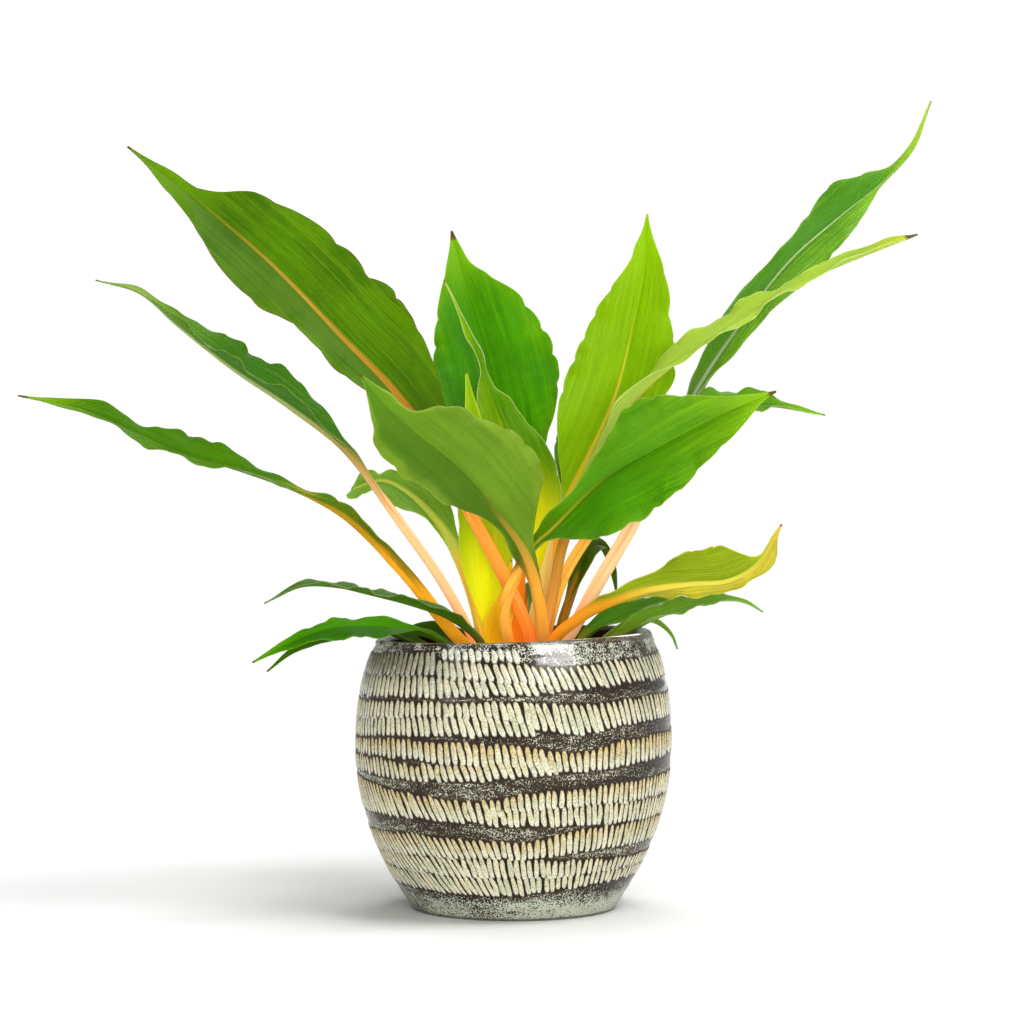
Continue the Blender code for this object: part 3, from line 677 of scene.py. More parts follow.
def stroke_finish():
    f = Finish("slip_under_gloss_glaze")
    share, own, ochre = f.stored("stroke_share"), f.stored("stroke_tone"), f.stored("stroke_ochre")
    border, veil = f.stored("stroke_border"), f.stored("stroke_veil")
    place, height = f.place(), f.in_mm("Z")
    cloud, patch, grain = f.noise(place, 60, 2), f.noise(place, 420, 2), f.noise(place, 1500, 3, 0.6)
    colour = f.mix((cloud + (own - 0.5) * 0.3).clear_of(0.35, 0.65), CREAM, CREAM_GREEN)
    colour = f.mix((1 - share).clear_of(0.5, 1.0) * 0.6, colour, CREAM_FOOT)
    tops = (share + (patch - 0.5) * 0.9 + (own - 0.5) * 0.4).clear_of(0.2, 0.95)
    colour = f.mix(tops * ochre * 0.75, colour, OCHRE)
    colour = f.mix(grain.clear_of(0.5, 0.66) * 0.55, colour, CREAM_RIM)
    # Painted shade: strokes near the rim on the left are darkened to olive under the leaves hanging over
    # them.
    left_shade = (1 - f.in_mm("X").clear_of(*LEFT_SHADE_ACROSS)) * height.clear_of(*LEFT_SHADE_UP)
    colour = f.mix(left_shade * (0.5 + patch).clear_of(0.5, 1.0) * 0.85, colour, LEFT_RIM_SHADE)
    veiling = f.mix(grain.clear_of(0.42, 0.56), STROKE_VEIL, CREAM_RIM)
    colour = f.mix(veil * 0.65, colour, veiling)
    worn = (1 - grain).clear_of(0.52, 0.68) * (0.25 + 0.6 * cloud)
    # Painted dark line along each stroke's border: the brown body in the gap, and painted shade at the
    # edge.
    border_gap_and_shade = (border + (grain - 0.5) * 0.35 + (patch - 0.5) * 0.3).clear_of(0.7, 0.86) * 0.95
    colour = f.mix(worn.at_least(border_gap_and_shade) * (1 - veil * 0.45), colour, STROKE_WEAR_AND_SHADE)
    relief = f.bump(grain + 0.8 * patch, GLAZE_BUMP, GLAZE_RELIEF)
    gloss = 0.15 + 0.7 * height.clear_of(*GLOSSY_BAND)
    f.finish_with(**CLEAR_COAT, Coat_Weight=gloss, Specular_IOR_Level=0.2)
    return f.finish_with(Base_Color=colour, Roughness=0.2 + 0.12 * grain, Normal=relief)


glazed_slip = stroke_finish()
print("the strokes' finish has", len(glazed_slip.node_tree.nodes), "nodes")

# %% [markdown]
# The wall's finish has to know where it is: the inner wall has hardly any specks, and the brown ground
# between the strokes of a row is kept dark with hardly any specks, partly its own dark clay and partly
# painted shade in the narrow grooves there. Both are stored as numbers on the wall's points, worked out
# from the same profile and the same rows that shaped the pot.

# %% Put the pot together
INNER_SIDE = 0.55


def mark_wall(piece):
    """Tells the finish which points are on the inner wall and which lie between the strokes of a row."""
    x, y, z = (np.array([v.co for v in piece.data.vertices]) / MM).T
    level = z - tilt(x, z)
    inside = (np.hypot(x, y) < outer_radius(level) - WALL * INNER_SIDE) & (level > FLOOR - 1)
    in_row = in_rows(np.degrees(np.arctan2(x, -y)), level)
    store(piece.data, "inside", inside)
    store(piece.data, "in_row", in_row)
    print("points of the inner wall:", inside.sum(), "and points in a row:", (in_row > 0).sum())


mark_wall(make_pot_wall(glazed_wall))
make_strokes(glazed_slip)

# %% [markdown]
# ## The leaves
#
# Each leaf is a channelled stalk that widens into a folded, waved blade. It could be a flat sheet with a
# cut-out picture of a leaf, but it has to look right from all sides and throw the shadow of a real one,
# so it is modelled as a thin, closed body. Its midrib is a smooth curve through a few points, and a
# direction for the upper side is spread along it, so that the blade can twist. The table has one entry a
# leaf: where its stalk stands in the soil, the midrib's path above it, and how wide, folded and waved the
# blade is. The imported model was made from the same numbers, so the fine leaf lies where the plain one
# does.

# %% The leaves' table
@dataclass
class Leaf:
    """One leaf. Lengths are in mm, the fold is in degrees, and halves scales the blade's two halves."""

    name: str
    seat: tuple
    path: tuple
    faces: tuple
    half_width: float
    blade_from: float = 0.45
    widest: tuple = (0.42, 0.42)
    ends: tuple = (1.5, 1.4)
    fold: float = 16.0
    ripple: float = 2.0
    ripples: int = 4
    phase: float = 0.0
    stalk: float = 3.6
    halves: tuple = (1.0, 1.0)
    slot: str = "leaf"


LEAVES = (
    Leaf(
        "leaf_left_high",
        seat=(5, -9.5),
        path=((7, -9, 128), (-21, 3, 188), (-53, 23, 241), (-85, 38, 275), (-120, 46, 311), (-160, 52, 345),
              (-190, 50, 368)),
        faces=((0.3, -1, 0.2), (0.3, -1, 0.1), (0.1, -1, 0.3)),
        half_width=37, blade_from=0.32, widest=(0.58, 0.42), ends=(1.2, 1.7), halves=(0.65, 1), phase=1,
    ),
    Leaf(
        "leaf_left_middle",
        seat=(-13, -1),
        path=((-22, 0, 134), (-35, 4, 157), (-55, 8, 185), (-81, 12, 219), (-108, 16, 240),
              (-135, 18, 258), (-162, 20, 279), (-181, 20, 295), (-202, 18, 301)),
        faces=((0.5, -0.2, 0.8), (0.5, -0.3, 0.8), (0.3, -0.2, 0.9)),
        half_width=18, blade_from=0.33, widest=(0.5, 0.5), ends=(2, 1.4), fold=34, ripples=5,
    ),
    Leaf(
        "leaf_left_low",
        seat=(-10.5, -9),
        path=((-27, -6, 129), (-54, -8, 162), (-80, -10, 188), (-102, -10, 200), (-130, -8, 210),
              (-159, -5, 218), (-183, -3, 229), (-207, 0, 239), (-237, 0, 245)),
        faces=((0.6, 0.6, 0.6), (0.2, -0.5, 0.9), (0.1, -0.6, 0.8), (0.1, -0.5, 0.8)),
        half_width=8.8, blade_from=0.3, widest=(0.6, 0.6), ends=(2, 1.2), fold=20, ripples=5,
    ),
    Leaf(
        "leaf_left_back",
        seat=(-13, 17),
        path=((-21, 24, 150), (-34, 40, 178), (-52, 58, 197), (-66, 74, 203), (-82, 90, 198)),
        faces=((0.3, -0.9, 0.4), (0.1, -0.8, 0.6), (-0.2, -0.8, 0.7)),
        half_width=16, blade_from=0.4, widest=(0.5, 0.5), ripples=3,
    ),
    Leaf(
        "leaf_front_left",
        seat=(9, -17),
        path=((13, -20, 129), (11, -32, 154), (4, -50, 174), (-10, -75, 194), (-26, -98, 213),
              (-44, -116, 228), (-58, -130, 242), (-67, -138, 253)),
        faces=((-0.2, 1, 0.5), (-0.2, 1, 0.6), (0.0, 1, 0.4)),
        half_width=31, blade_from=0.26, widest=(0.44, 0.7), fold=10, halves=(1, 0.7),
    ),
    Leaf(
        "leaf_front_right",
        seat=(0, -17),
        path=((-2, -17, 129), (-4, -19, 143), (0, -22, 156), (7, -27, 171), (19, -36, 183),
              (40, -52, 204), (62, -66, 218), (86, -80, 232), (104, -90, 240), (118, -96, 246)),
        faces=((0.2, -1, 0.3), (-0.1, -1, 0.4), (0, -1, 0.3)),
        half_width=27, blade_from=0.33, widest=(0.54, 0.42), halves=(0.85, 1),
    ),
    Leaf(
        "leaf_back_tall",
        seat=(-1, 8),
        path=((0, 15, 130), (3, 23, 150), (3, 31, 171), (0, 41, 199), (-5, 51, 231), (-14, 61, 268),
              (-24, 69, 301), (-31, 74, 328)),
        faces=((0, -1, 0.3), (0.1, -1, 0.3), (0, -1, 0.2)),
        half_width=35, blade_from=0.34, widest=(0.5, 0.5), ends=(1.2, 1.3), halves=(0.9, 1),
    ),
    Leaf(
        "leaf_lime_tall",
        seat=(5, 12.5),
        path=((13, 17, 138), (17, 21, 156), (20, 25, 176), (27, 30, 197), (38, 33, 219), (50, 38, 246),
              (58, 44, 277), (64, 49, 307), (66, 53, 335)),
        faces=((0, -1, 0.1), (0, -1, 0.1), (0, -1, 0.1)),
        half_width=27, blade_from=0.37, widest=(0.42, 0.48), slot="leaf_lime",
    ),
    Leaf(
        "leaf_right_curved",
        seat=(11, -2),
        path=((14, -2, 128), (19, -3, 150), (23, -4, 171), (31, -6, 195), (43, -8, 221), (60, -10, 247),
              (86, -10, 268), (113, -8, 286), (141, -5, 301), (167, -2, 312), (193, 0, 322)),
        faces=((-0.4, 0.75, 0.4), (-0.4, -0.6, 0.8), (-0.3, -0.2, 1)),
        half_width=9.5, blade_from=0.32, widest=(0.5, 0.5), fold=8, ripples=5, slot="leaf_lime",
    ),
    Leaf(
        "leaf_right_high",
        seat=(14, -8),
        path=((26, -4, 128), (41, 2, 154), (57, 8, 181), (74, 16, 216), (89, 24, 247), (108, 32, 276),
              (135, 40, 311), (160, 46, 333), (183, 48, 352), (196, 48, 369), (205, 46, 390)),
        faces=((-0.6, -0.9, 0.2), (-0.3, -1, 0.3), (-0.2, -1, 0.2)),
        half_width=18, blade_from=0.46, widest=(0.56, 0.4), ends=(1.5, 1.7), halves=(0.75, 1),
    ),
    Leaf(
        "leaf_right_back",
        seat=(13, 14),
        path=((17, 14, 133), (24, 16, 156), (35, 20, 175), (54, 30, 199), (74, 42, 224), (96, 54, 237),
              (125, 66, 241), (156, 76, 236)),
        faces=((-0.3, -0.7, 0.8), (0, -0.5, 1), (0.2, -0.6, 1)),
        half_width=16, blade_from=0.5,
    ),
    Leaf(
        "leaf_right_keeled",
        seat=(17, -15),
        path=((20, -16, 129), (29, -22, 138), (40, -28, 145), (59, -36, 153), (82, -44, 157),
              (100, -50, 159), (112, -53, 166), (118, -54, 175), (124, -54, 185)),
        faces=((-0.2, 0.9, 0.8), (0, 0.9, 0.6), (-0.6, 0.8, 0.3)),
        half_width=16, blade_from=0.28, widest=(0.5, 0.62), ripples=3,
    ),
    Leaf(
        "leaf_low_right_upper",
        seat=(24, 6),
        path=((34, 10, 129), (48, 16, 137), (63, 22, 143), (75, 28, 146), (84, 32, 146)),
        faces=((0, -0.5, 1), (0, -0.6, 1)),
        half_width=8, blade_from=0.3, ripples=2, ripple=1.0, stalk=2.6, slot="leaf_dark",
    ),
    Leaf(
        "leaf_low_right",
        seat=(24, -9),
        path=((41, -4, 124), (65, -2, 138), (84, 2, 144), (99, 5, 147), (111, 8, 146), (120, 8, 141)),
        faces=((0, -0.4, 1), (0, -0.5, 1)),
        half_width=8, blade_from=0.3, ripple=1.0, stalk=2.6, slot="leaf_dark",
    ),
    Leaf(
        "leaf_low_right_small",
        seat=(27, -1),
        path=((45, 7, 129), (61, 9, 137), (69, 10, 136), (76, 10, 130), (79, 9, 123)),
        faces=((0, -0.6, 1), (0.5, -0.6, 0.6)),
        half_width=3, blade_from=0.4, ripples=2, ripple=0.4, stalk=1.8, slot="leaf_dark",
    ),
    Leaf(
        "leaf_low_left_upper",
        seat=(-9, -17),
        path=((-16, -22, 130), (-30, -27, 141), (-46, -32, 147), (-65, -38, 152), (-83, -42, 156),
              (-99, -45, 156), (-116, -46, 148)),
        faces=((0.3, -0.3, 1), (0, -0.2, 1), (-0.2, -0.2, 1)),
        half_width=9, blade_from=0.2, ripples=5, ripple=1.2, stalk=3, slot="leaf_dark",
    ),
    Leaf(
        "leaf_low_left",
        seat=(-18.5, -9),
        path=((-35, -8, 129), (-52, -16, 134), (-67, -24, 136), (-82, -30, 136), (-95, -35, 133),
              (-109, -38, 127), (-122, -40, 120)),
        faces=((0.2, -0.4, 0.9), (0, -0.6, 0.9), (-0.2, -0.9, 0.6)),
        half_width=9, blade_from=0.24, fold=8, ripple=1.2, stalk=3, slot="leaf_dark",
    ),
    Leaf(
        "leaf_low_left_under",
        seat=(-21, -1),
        path=((-50, 8, 128), (-67, 6, 133), (-88, 2, 129), (-105, 0, 123), (-118, -2, 113)),
        faces=((0, -0.6, 1), (-0.3, -0.8, 0.8)),
        half_width=6, blade_from=0.3, ripples=3, ripple=0.6, stalk=2.4, slot="leaf_dark",
    ),
    Leaf(
        "leaf_low_left_inner",
        seat=(-17, 7),
        path=((-22, 12, 124), (-34, 18, 130), (-44, 22, 133), (-53, 25, 132)),
        faces=((0, -0.7, 0.8), (0, -0.7, 0.8)),
        half_width=7, blade_from=0.3, ripples=2, ripple=0.6, stalk=2.4, slot="leaf_dark",
    ),
    Leaf(
        "leaf_lime_centre",
        seat=(7, 5),
        path=((11, 12, 138), (12, 16, 152), (10, 22, 178), (4, 29, 202), (-4, 34, 226), (-12, 37, 249),
              (-21, 39, 275), (-34, 41, 302)),
        faces=((0.2, -1, 0.1), (0.5, -1, 0.1), (0.9, -0.6, 0.2)),
        half_width=19, blade_from=0.28, widest=(0.32, 0.27), slot="leaf_lime",
    ),
    Leaf(
        "leaf_young_yellow",
        seat=(-8, 6),
        path=((-9, 10, 127), (-12, 12, 156), (-14, 13, 185), (-17, 15, 212), (-20, 17, 236),
              (-23, 19, 257)),
        faces=((0, -1, 0.1), (0, -1, 0.1)),
        half_width=15, blade_from=0.12, widest=(0.4, 0.4), ripple=1.0, ripples=2, stalk=4.2,
        slot="leaf_yellow",
    ),
    Leaf(
        "leaf_sheath_golden",
        seat=(-2.5, -2.5),
        path=((-9, 0, 128), (-5, 3, 143), (-2, 5, 156), (-1, 6, 166)),
        faces=((0.1, -1, 0.1), (0.1, -1, 0.1)),
        half_width=8, blade_from=0.24, widest=(0.3, 0.3), ripple=0.5, ripples=2, stalk=5,
        slot="leaf_yellow",
    ),
    Leaf(
        "leaf_sheath_pale",
        seat=(3.5, -2),
        path=((9, 4, 131), (14, 6, 152), (17, 8, 169), (19, 10, 181)),
        faces=((0.1, -1, 0), (0.1, -1, 0)),
        half_width=5, blade_from=0.2, ripple=0.3, ripples=2, stalk=3, slot="leaf_yellow",
    ),
    Leaf(
        "leaf_back_drooping",
        seat=(19, 12),
        path=((24, 16, 137), (30, 22, 154), (36, 29, 169), (42, 36, 172), (48, 42, 161), (51, 44, 146)),
        faces=((-0.4, -0.9, 0.3), (0, -0.6, 0.9), (0.8, -0.6, 0.3)),
        half_width=7, blade_from=0.4, ripple=0.6, ripples=2, stalk=3.2, slot="leaf_dark",
    ),
    Leaf(
        "leaf_back_left",
        seat=(-5, 14),
        path=((-7, 28, 150), (-9, 52, 185), (-10, 85, 220), (-12, 125, 240), (-14, 165, 238)),
        faces=((0, -1, 0.5), (0, -0.5, 1), (0, 0.1, 1)),
        half_width=24, blade_from=0.4,
    ),
    Leaf(
        "leaf_back_right",
        seat=(10, 21),
        path=((16, 36, 150), (28, 57, 190), (42, 87, 225), (54, 117, 248), (62, 147, 255)),
        faces=((-0.3, -1, 0.5), (-0.2, -0.6, 1), (0, 0, 1)),
        half_width=21, blade_from=0.42,
    ),
    Leaf(
        "leaf_back_low",
        seat=(1, 21),
        path=((5, 38, 135), (5, 62, 148), (6, 95, 150), (7, 130, 135), (8, 155, 112)),
        faces=((0, -0.3, 1), (0, 0.2, 1), (0, 0.8, 0.6)),
        half_width=9, blade_from=0.3, ripple=1.0, stalk=3, slot="leaf_dark",
    ),
)

print(len(LEAVES), "leaves")

# %% [markdown]
# ### Along the midrib
#
# A centripetal Catmull-Rom curve passes through every given point without loops, even where two points
# lie close together. A Bezier curve would need two handles for each point, and this one needs only the
# points. The stalk leaves the soil upright and then follows its own path.

# %% The midrib and the directions along it
SOIL_EDGE = 106.0
SOIL_CROWN = 110.0
SOIL_HUMPS = 1.1
HUMP_SPREAD = (7.0, 6.0)
STALK_DEPTH = 9.0
STALK_RISE = 4.0
STALK_TURN = 0.1
CURVE_STEPS = 24
CENTRIPETAL = 0.5


def soil_height(x, y):
    """The soil's surface: a low mound with shallow humps that fade towards the wall."""
    out = np.minimum(1, np.hypot(x, y) / (outer_radius(SOIL_EDGE) - WALL))
    mound = SOIL_EDGE + (SOIL_CROWN - SOIL_EDGE) * (1 - out**2)
    hump = np.sin(x / HUMP_SPREAD[0]) * np.cos(y / HUMP_SPREAD[1])
    return tilted(x, mound + SOIL_HUMPS * (1 - out) * hump)


def smooth_path(points):
    """A smooth curve through the points, as close-set points and the share of the length at each."""
    points = np.array(points, float)
    ends = np.vstack([2 * points[0] - points[1], points, 2 * points[-1] - points[-2]])
    gaps = np.linalg.norm(np.diff(ends, axis=0), axis=1)
    knots = np.concatenate([[0], np.cumsum(gaps**CENTRIPETAL)])
    curve = []
    for i in range(1, len(points)):
        t0, t1, t2, t3 = knots[i - 1 : i + 3]
        p0, p1, p2, p3 = ends[i - 1 : i + 3]
        for t in np.linspace(t1, t2, CURVE_STEPS, endpoint=False):
            a1 = (t1 - t) / (t1 - t0) * p0 + (t - t0) / (t1 - t0) * p1
            a2 = (t2 - t) / (t2 - t1) * p1 + (t - t1) / (t2 - t1) * p2
            a3 = (t3 - t) / (t3 - t2) * p2 + (t - t2) / (t3 - t2) * p3
            b1 = (t2 - t) / (t2 - t0) * a1 + (t - t0) / (t2 - t0) * a2
            b2 = (t3 - t) / (t3 - t1) * a2 + (t - t1) / (t3 - t1) * a3
            curve.append((t2 - t) / (t2 - t1) * b1 + (t - t1) / (t2 - t1) * b2)
    curve = np.array([*curve, points[-1]])
    share = np.concatenate([[0], np.cumsum(np.linalg.norm(np.diff(curve, axis=0), axis=1))])
    return curve, share / share[-1]


def read_at(values, at, where):
    """Rows of values that are known at some places, read at others."""
    values = np.array(values, float)
    return np.stack([np.interp(where, at, column) for column in values.T], axis=1)


def leaf_frames(leaf, share):
    """The midrib's points, and the directions to the leaf's right and out of its upper side."""
    soil = float(soil_height(*leaf.seat))
    foot = [(*leaf.seat, soil + rise) for rise in (-STALK_DEPTH, 0, STALK_RISE)]
    curve, curve_share = smooth_path([*foot, *leaf.path])
    centre = read_at(curve, curve_share, share)
    along = unit(read_at(unit(np.gradient(curve, axis=0)), curve_share, share))
    lean = unit(np.array([leaf.path[-1][0] - leaf.seat[0], leaf.path[-1][1] - leaf.seat[1], 0]))
    faces = np.vstack([-lean, -lean, unit(np.array(leaf.faces, float))])
    at = np.concatenate([[0, STALK_TURN], np.linspace(leaf.blade_from, 1, len(leaf.faces))])
    up = read_at(faces, at, share)
    up = unit(up - (up * along).sum(1, keepdims=True) * along)
    return centre, np.cross(along, up), up


print("the soil is", round(float(soil_height(0, 0)), 1), "mm high in the middle")

# %% [markdown]
# ### Notes on the rims
#
# No real leaf has the smooth outline of the plain one. Each rim swells, is pinched, or runs out in a
# lobe, and that is what makes a leaf look grown. The notes give for the left and the right rim how wide
# the blade is at points along it, as a factor of the plain width. Pulling the points about by hand would
# do as well, but notes can be read, and changed one by one.

# %% The rims' notes
PLAIN_RIMS = (((0, 1), (1, 1)), ((0, 1), (1, 1)))
RIM_NOTES = {
    "leaf_right_curved": (
        ((0, 1.2), (0.15, 1.5), (0.3, 1.5), (0.5, 1), (0.7, 0.9), (0.76, 0.8), (0.82, 2), (0.9, 4),
         (0.95, 6), (0.975, 4), (1, 1)),
        ((0, 1), (0.3, 1.1), (0.5, 1), (0.76, 0.8), (0.82, 2), (0.9, 4), (0.95, 5), (0.975, 3), (1, 1)),
    ),
    "leaf_left_high": (
        ((0, 1.35), (0.1, 1.1), (0.3, 0.97), (0.35, 0.92), (0.4, 0.77), (0.5, 0.69), (0.55, 0.98),
         (0.65, 1.09), (0.75, 1.1), (0.8, 0.95), (0.85, 1), (0.9, 1.36), (1, 1)),
        ((0, 1.35), (0.1, 1), (0.2, 0.93), (0.35, 0.94), (0.4, 1), (0.45, 0.84), (0.5, 0.9), (0.6, 1.04),
         (0.7, 1.17), (0.75, 1.18), (0.8, 0.7), (0.85, 0.42), (0.9, 0.95), (1, 1)),
    ),
    "leaf_left_middle": (
        ((0, 1), (0.1, 0.6), (0.15, 0.5), (0.25, 0.5), (0.35, 1), (1, 1)),
        ((0, 1), (0.1, 0.6), (0.15, 0.45), (0.25, 0.3), (0.3, 0.6), (0.35, 0.97), (0.5, 0.92), (0.6, 1.03),
         (0.65, 0.86), (0.7, 1.03), (0.75, 1), (0.8, 0.6), (0.85, 0.4), (0.9, 1), (1, 1)),
    ),
    "leaf_left_low": (
        ((0, 1.6), (0.1, 1.8), (0.2, 1.7), (0.25, 0.5), (0.3, 0.8), (0.35, 1.7), (0.4, 1.8), (0.45, 1.2),
         (0.55, 0.9), (0.65, 1.4), (0.75, 1.1), (0.85, 1.5), (0.92, 1.5), (1, 1)),
        ((0, 1.6), (0.1, 1.8), (0.2, 1.5), (0.25, 0.3), (0.3, 0.4), (0.35, 0.93), (0.4, 0.85), (0.5, 1.35),
         (0.55, 1.8), (0.6, 1.5), (0.65, 0.9), (0.7, 0.75), (0.75, 1.2), (0.8, 1.4), (0.9, 1), (1, 1)),
    ),
    "leaf_left_back": (
        ((0, 1), (0.1, 0.7), (0.2, 0.5), (0.3, 0.5), (0.4, 0.8), (0.7, 1.2), (0.8, 2), (0.88, 3.4),
         (0.94, 5.5), (0.98, 7), (1, 2)),
        ((0, 1), (0.1, 0.85), (0.3, 0.9), (0.5, 0.8), (0.6, 0.6), (0.8, 0.5), (0.9, 2.4), (0.95, 5),
         (0.98, 6), (1, 2)),
    ),
    "leaf_front_left": (
        ((0, 1.35), (0.05, 0.9), (0.1, 0.62), (0.15, 0.5), (0.2, 0.85), (0.3, 1.1), (0.35, 1.05),
         (0.6, 0.98), (0.7, 1), (0.75, 0.96), (0.8, 0.58), (0.85, 0.57), (0.9, 0.97), (1, 1)),
        ((0, 1.5), (0.1, 1.6), (0.15, 1.25), (0.2, 0.8), (0.25, 0.55), (0.35, 0.74), (0.4, 0.92),
         (0.5, 1.03), (0.6, 1.1), (0.65, 1.15), (0.7, 1.03), (0.72, 1.14), (0.75, 1.08), (0.79, 1.14),
         (0.82, 0.94), (1, 0.9)),
    ),
    "leaf_front_right": (
        ((0, 1.2), (0.1, 1.2), (0.15, 1), (0.2, 0.6), (0.25, 0.44), (0.3, 0.45), (0.4, 0.69), (0.5, 0.93),
         (0.55, 1.1), (0.6, 1.16), (0.7, 1), (0.8, 0.85), (0.9, 0.9), (1, 1)),
        ((0, 1.2), (0.05, 0.4), (0.1, 0.6), (0.15, 1), (0.25, 1.2), (0.4, 1.22), (0.5, 1.25), (0.6, 1.34),
         (0.7, 1.35), (0.75, 1.6), (0.8, 1.87), (0.85, 2.1), (0.9, 1.8), (0.95, 1.3), (1, 1)),
    ),
    "leaf_back_tall": (
        ((0, 1), (0.3, 1.2), (0.4, 1.15), (0.5, 1.03), (0.6, 1), (1, 1)),
        ((0, 1), (0.2, 0.83), (0.4, 0.93), (0.45, 0.99), (0.6, 1), (0.7, 1.05), (0.75, 1.05), (0.8, 0.96),
         (0.85, 0.83), (0.88, 0.6), (0.92, 0.62), (1, 1)),
    ),
    "leaf_lime_tall": (
        ((0, 1), (0.1, 1.15), (0.15, 1.36), (0.25, 1.23), (0.4, 1.06), (0.5, 1), (0.6, 1.02), (0.65, 1.07),
         (0.7, 1.05), (0.75, 1.08), (0.85, 1), (0.9, 1.25), (0.95, 1), (1, 1)),
        ((0, 1), (0.45, 0.97), (0.5, 1.04), (0.6, 1), (0.65, 0.94), (0.7, 0.92), (0.75, 1), (1, 1.1)),
    ),
    "leaf_lime_centre": (
        ((0, 1), (0.5, 1), (0.6, 0.78), (0.65, 0.55), (0.7, 0.15), (0.75, 0.3), (0.8, 0.8), (1, 0.9)),
        ((0, 1), (0.45, 1), (0.5, 0.78), (0.55, 0.66), (0.6, 0.4), (0.65, 0.22), (0.75, 0.35), (0.8, 0.2),
         (0.9, 0.2), (1, 1)),
    ),
    "leaf_right_high": (
        ((0, 1.4), (0.05, 2.1), (0.1, 1.9), (0.2, 1.3), (0.3, 1.1), (0.35, 0.9), (0.4, 0.75), (0.5, 0.6),
         (0.55, 0.83), (0.65, 1.45), (0.7, 1.1), (0.75, 1.05), (0.8, 0.45), (0.9, 0.3), (1, 1)),
        ((0, 1.4), (0.1, 1.6), (0.15, 1.4), (0.2, 1), (0.6, 1), (0.7, 0.58), (0.75, 0.1), (0.8, 0.25),
         (0.9, 1), (1, 1)),
    ),
    "leaf_right_keeled": (
        ((0, 1.2), (0.4, 1), (0.45, 0.5), (0.55, 0.7), (0.7, 0.9), (0.75, 0.6), (0.8, 1.2), (0.85, 2.2),
         (0.9, 3), (0.95, 2.6), (1, 1)),
        ((0, 1.2), (0.1, 0.9), (0.15, 1), (0.2, 0.8), (0.4, 0.66), (0.5, 1.05), (0.55, 1.2), (0.7, 1.25),
         (0.8, 1), (0.85, 0.15), (0.9, 0.2), (1, 1)),
    ),
    "leaf_low_left_upper": (
        ((0, 1), (0.2, 1.3), (0.5, 1.3), (0.8, 1), (1, 1)),
        ((0, 0.8), (0.1, 0.55), (0.6, 0.6), (0.7, 0.7), (0.8, 1.2), (0.85, 1.2), (1, 1)),
    ),
    "leaf_low_left": (
        ((0, 1), (0.2, 1.6), (0.6, 1.6), (0.9, 1.3), (1, 1)),
        ((0, 0.7), (0.8, 0.75), (1, 1)),
    ),
}
print(len(RIM_NOTES), "leaves have notes on their rims")

# %% [markdown]
# ### Across the blade
#
# The outline starts from the widths of the plain leaf: a stalk that gets a little narrower, and a blade
# that swells and tapers. The notes on the rims change it, and shallow notches at uneven steps keep the
# rims from looking drawn with a ruler.

# %% The leaf's outline
TIP_HALF = 0.5
STALK_NECK = 0.7
UNEVEN = 0.035
UNEVEN_WAVES = 1.7
NOTCH = 0.06
NOTCHES = 2.3
RIM_BLEND = 0.015


def rim_factor(leaf, along, side):
    """How much wider the blade is here than its plain outline, from the rim notes, a little smoothed."""
    at, factors = zip(*RIM_NOTES.get(leaf.name, PLAIN_RIMS)[side])
    return sum(np.interp(along + step, at, factors) for step in (-RIM_BLEND, 0, RIM_BLEND)) / 3


def uneven(leaf, along):
    """The share along the blade with its steps a little uneven, so that the waves aren't regular."""
    return along + UNEVEN * np.sin(math.tau * UNEVEN_WAVES * along + 2 * leaf.phase)


def half_widths(leaf, share, side):
    """From the midrib to the left rim, which is side 0, or to the right one."""
    thinner = leaf.stalk * STALK_NECK
    stalk = np.interp(share, [0, leaf.blade_from, 1], [leaf.stalk, thinner, TIP_HALF])
    along = np.clip((share - leaf.blade_from) / (1 - leaf.blade_from), 0, 1)
    widest = leaf.widest[side]
    swell = np.sin(math.pi / 2 * np.minimum(along / widest, 1)) ** leaf.ends[0]
    taper = np.cos(math.pi / 2 * np.clip((along - widest) / (1 - widest), 0, 1)) ** leaf.ends[1]
    plain = stalk + (leaf.half_width * leaf.halves[side] - thinner) * swell * taper
    wave = np.sin(math.pi * NOTCHES * leaf.ripples * uneven(leaf, along) + side + leaf.phase)
    return plain * rim_factor(leaf, along, side) * (1 - NOTCH * (1 - np.abs(wave)) ** 2 * swell)


broadest = max(LEAVES, key=lambda leaf: leaf.half_width)
widths = half_widths(broadest, np.linspace(0, 1, 50), 1)
print(broadest.name, "reaches", round(float(widths.max()), 1), "mm from its midrib")

# %% [markdown]
# What the fine leaf adds lies between the rims: a groove along the midrib with a rib under it, low pleats
# that run the length of the blade, lobes that arch gently between the rib and the rim, a second and finer
# wave along the rims, and rims that thin to a third of a millimetre. A pleat or a wave gets weaker where
# the blade is narrow, because there is no room for it.

# %% The leaf's surface in detail
KEEL_STALK = 2.4
KEEL_BLADE = 1.2
RIPPLE_ROOM = 6
BLADE_THICK = 0.62
RIM_THICK = 0.3
RIM_BEVEL = 1.5
STALK_FOLD = 42.0
TIP_FOLD = 24.0
SIDE_PHASE = 1.9
ARCH = 0.055
PLEAT_DEPTH = 0.16
PLEATS = 5
PLEAT_ROOM = 15
FINE_WAVE = 0.3
FINE_WAVES = 2.7
FINE_PHASE = 2.3
RIB_FOOT_HALF = 2.0
RIB_TIP_HALF = 0.8
GROOVE_DEPTH = 0.4
GROOVE_HALF = 0.9


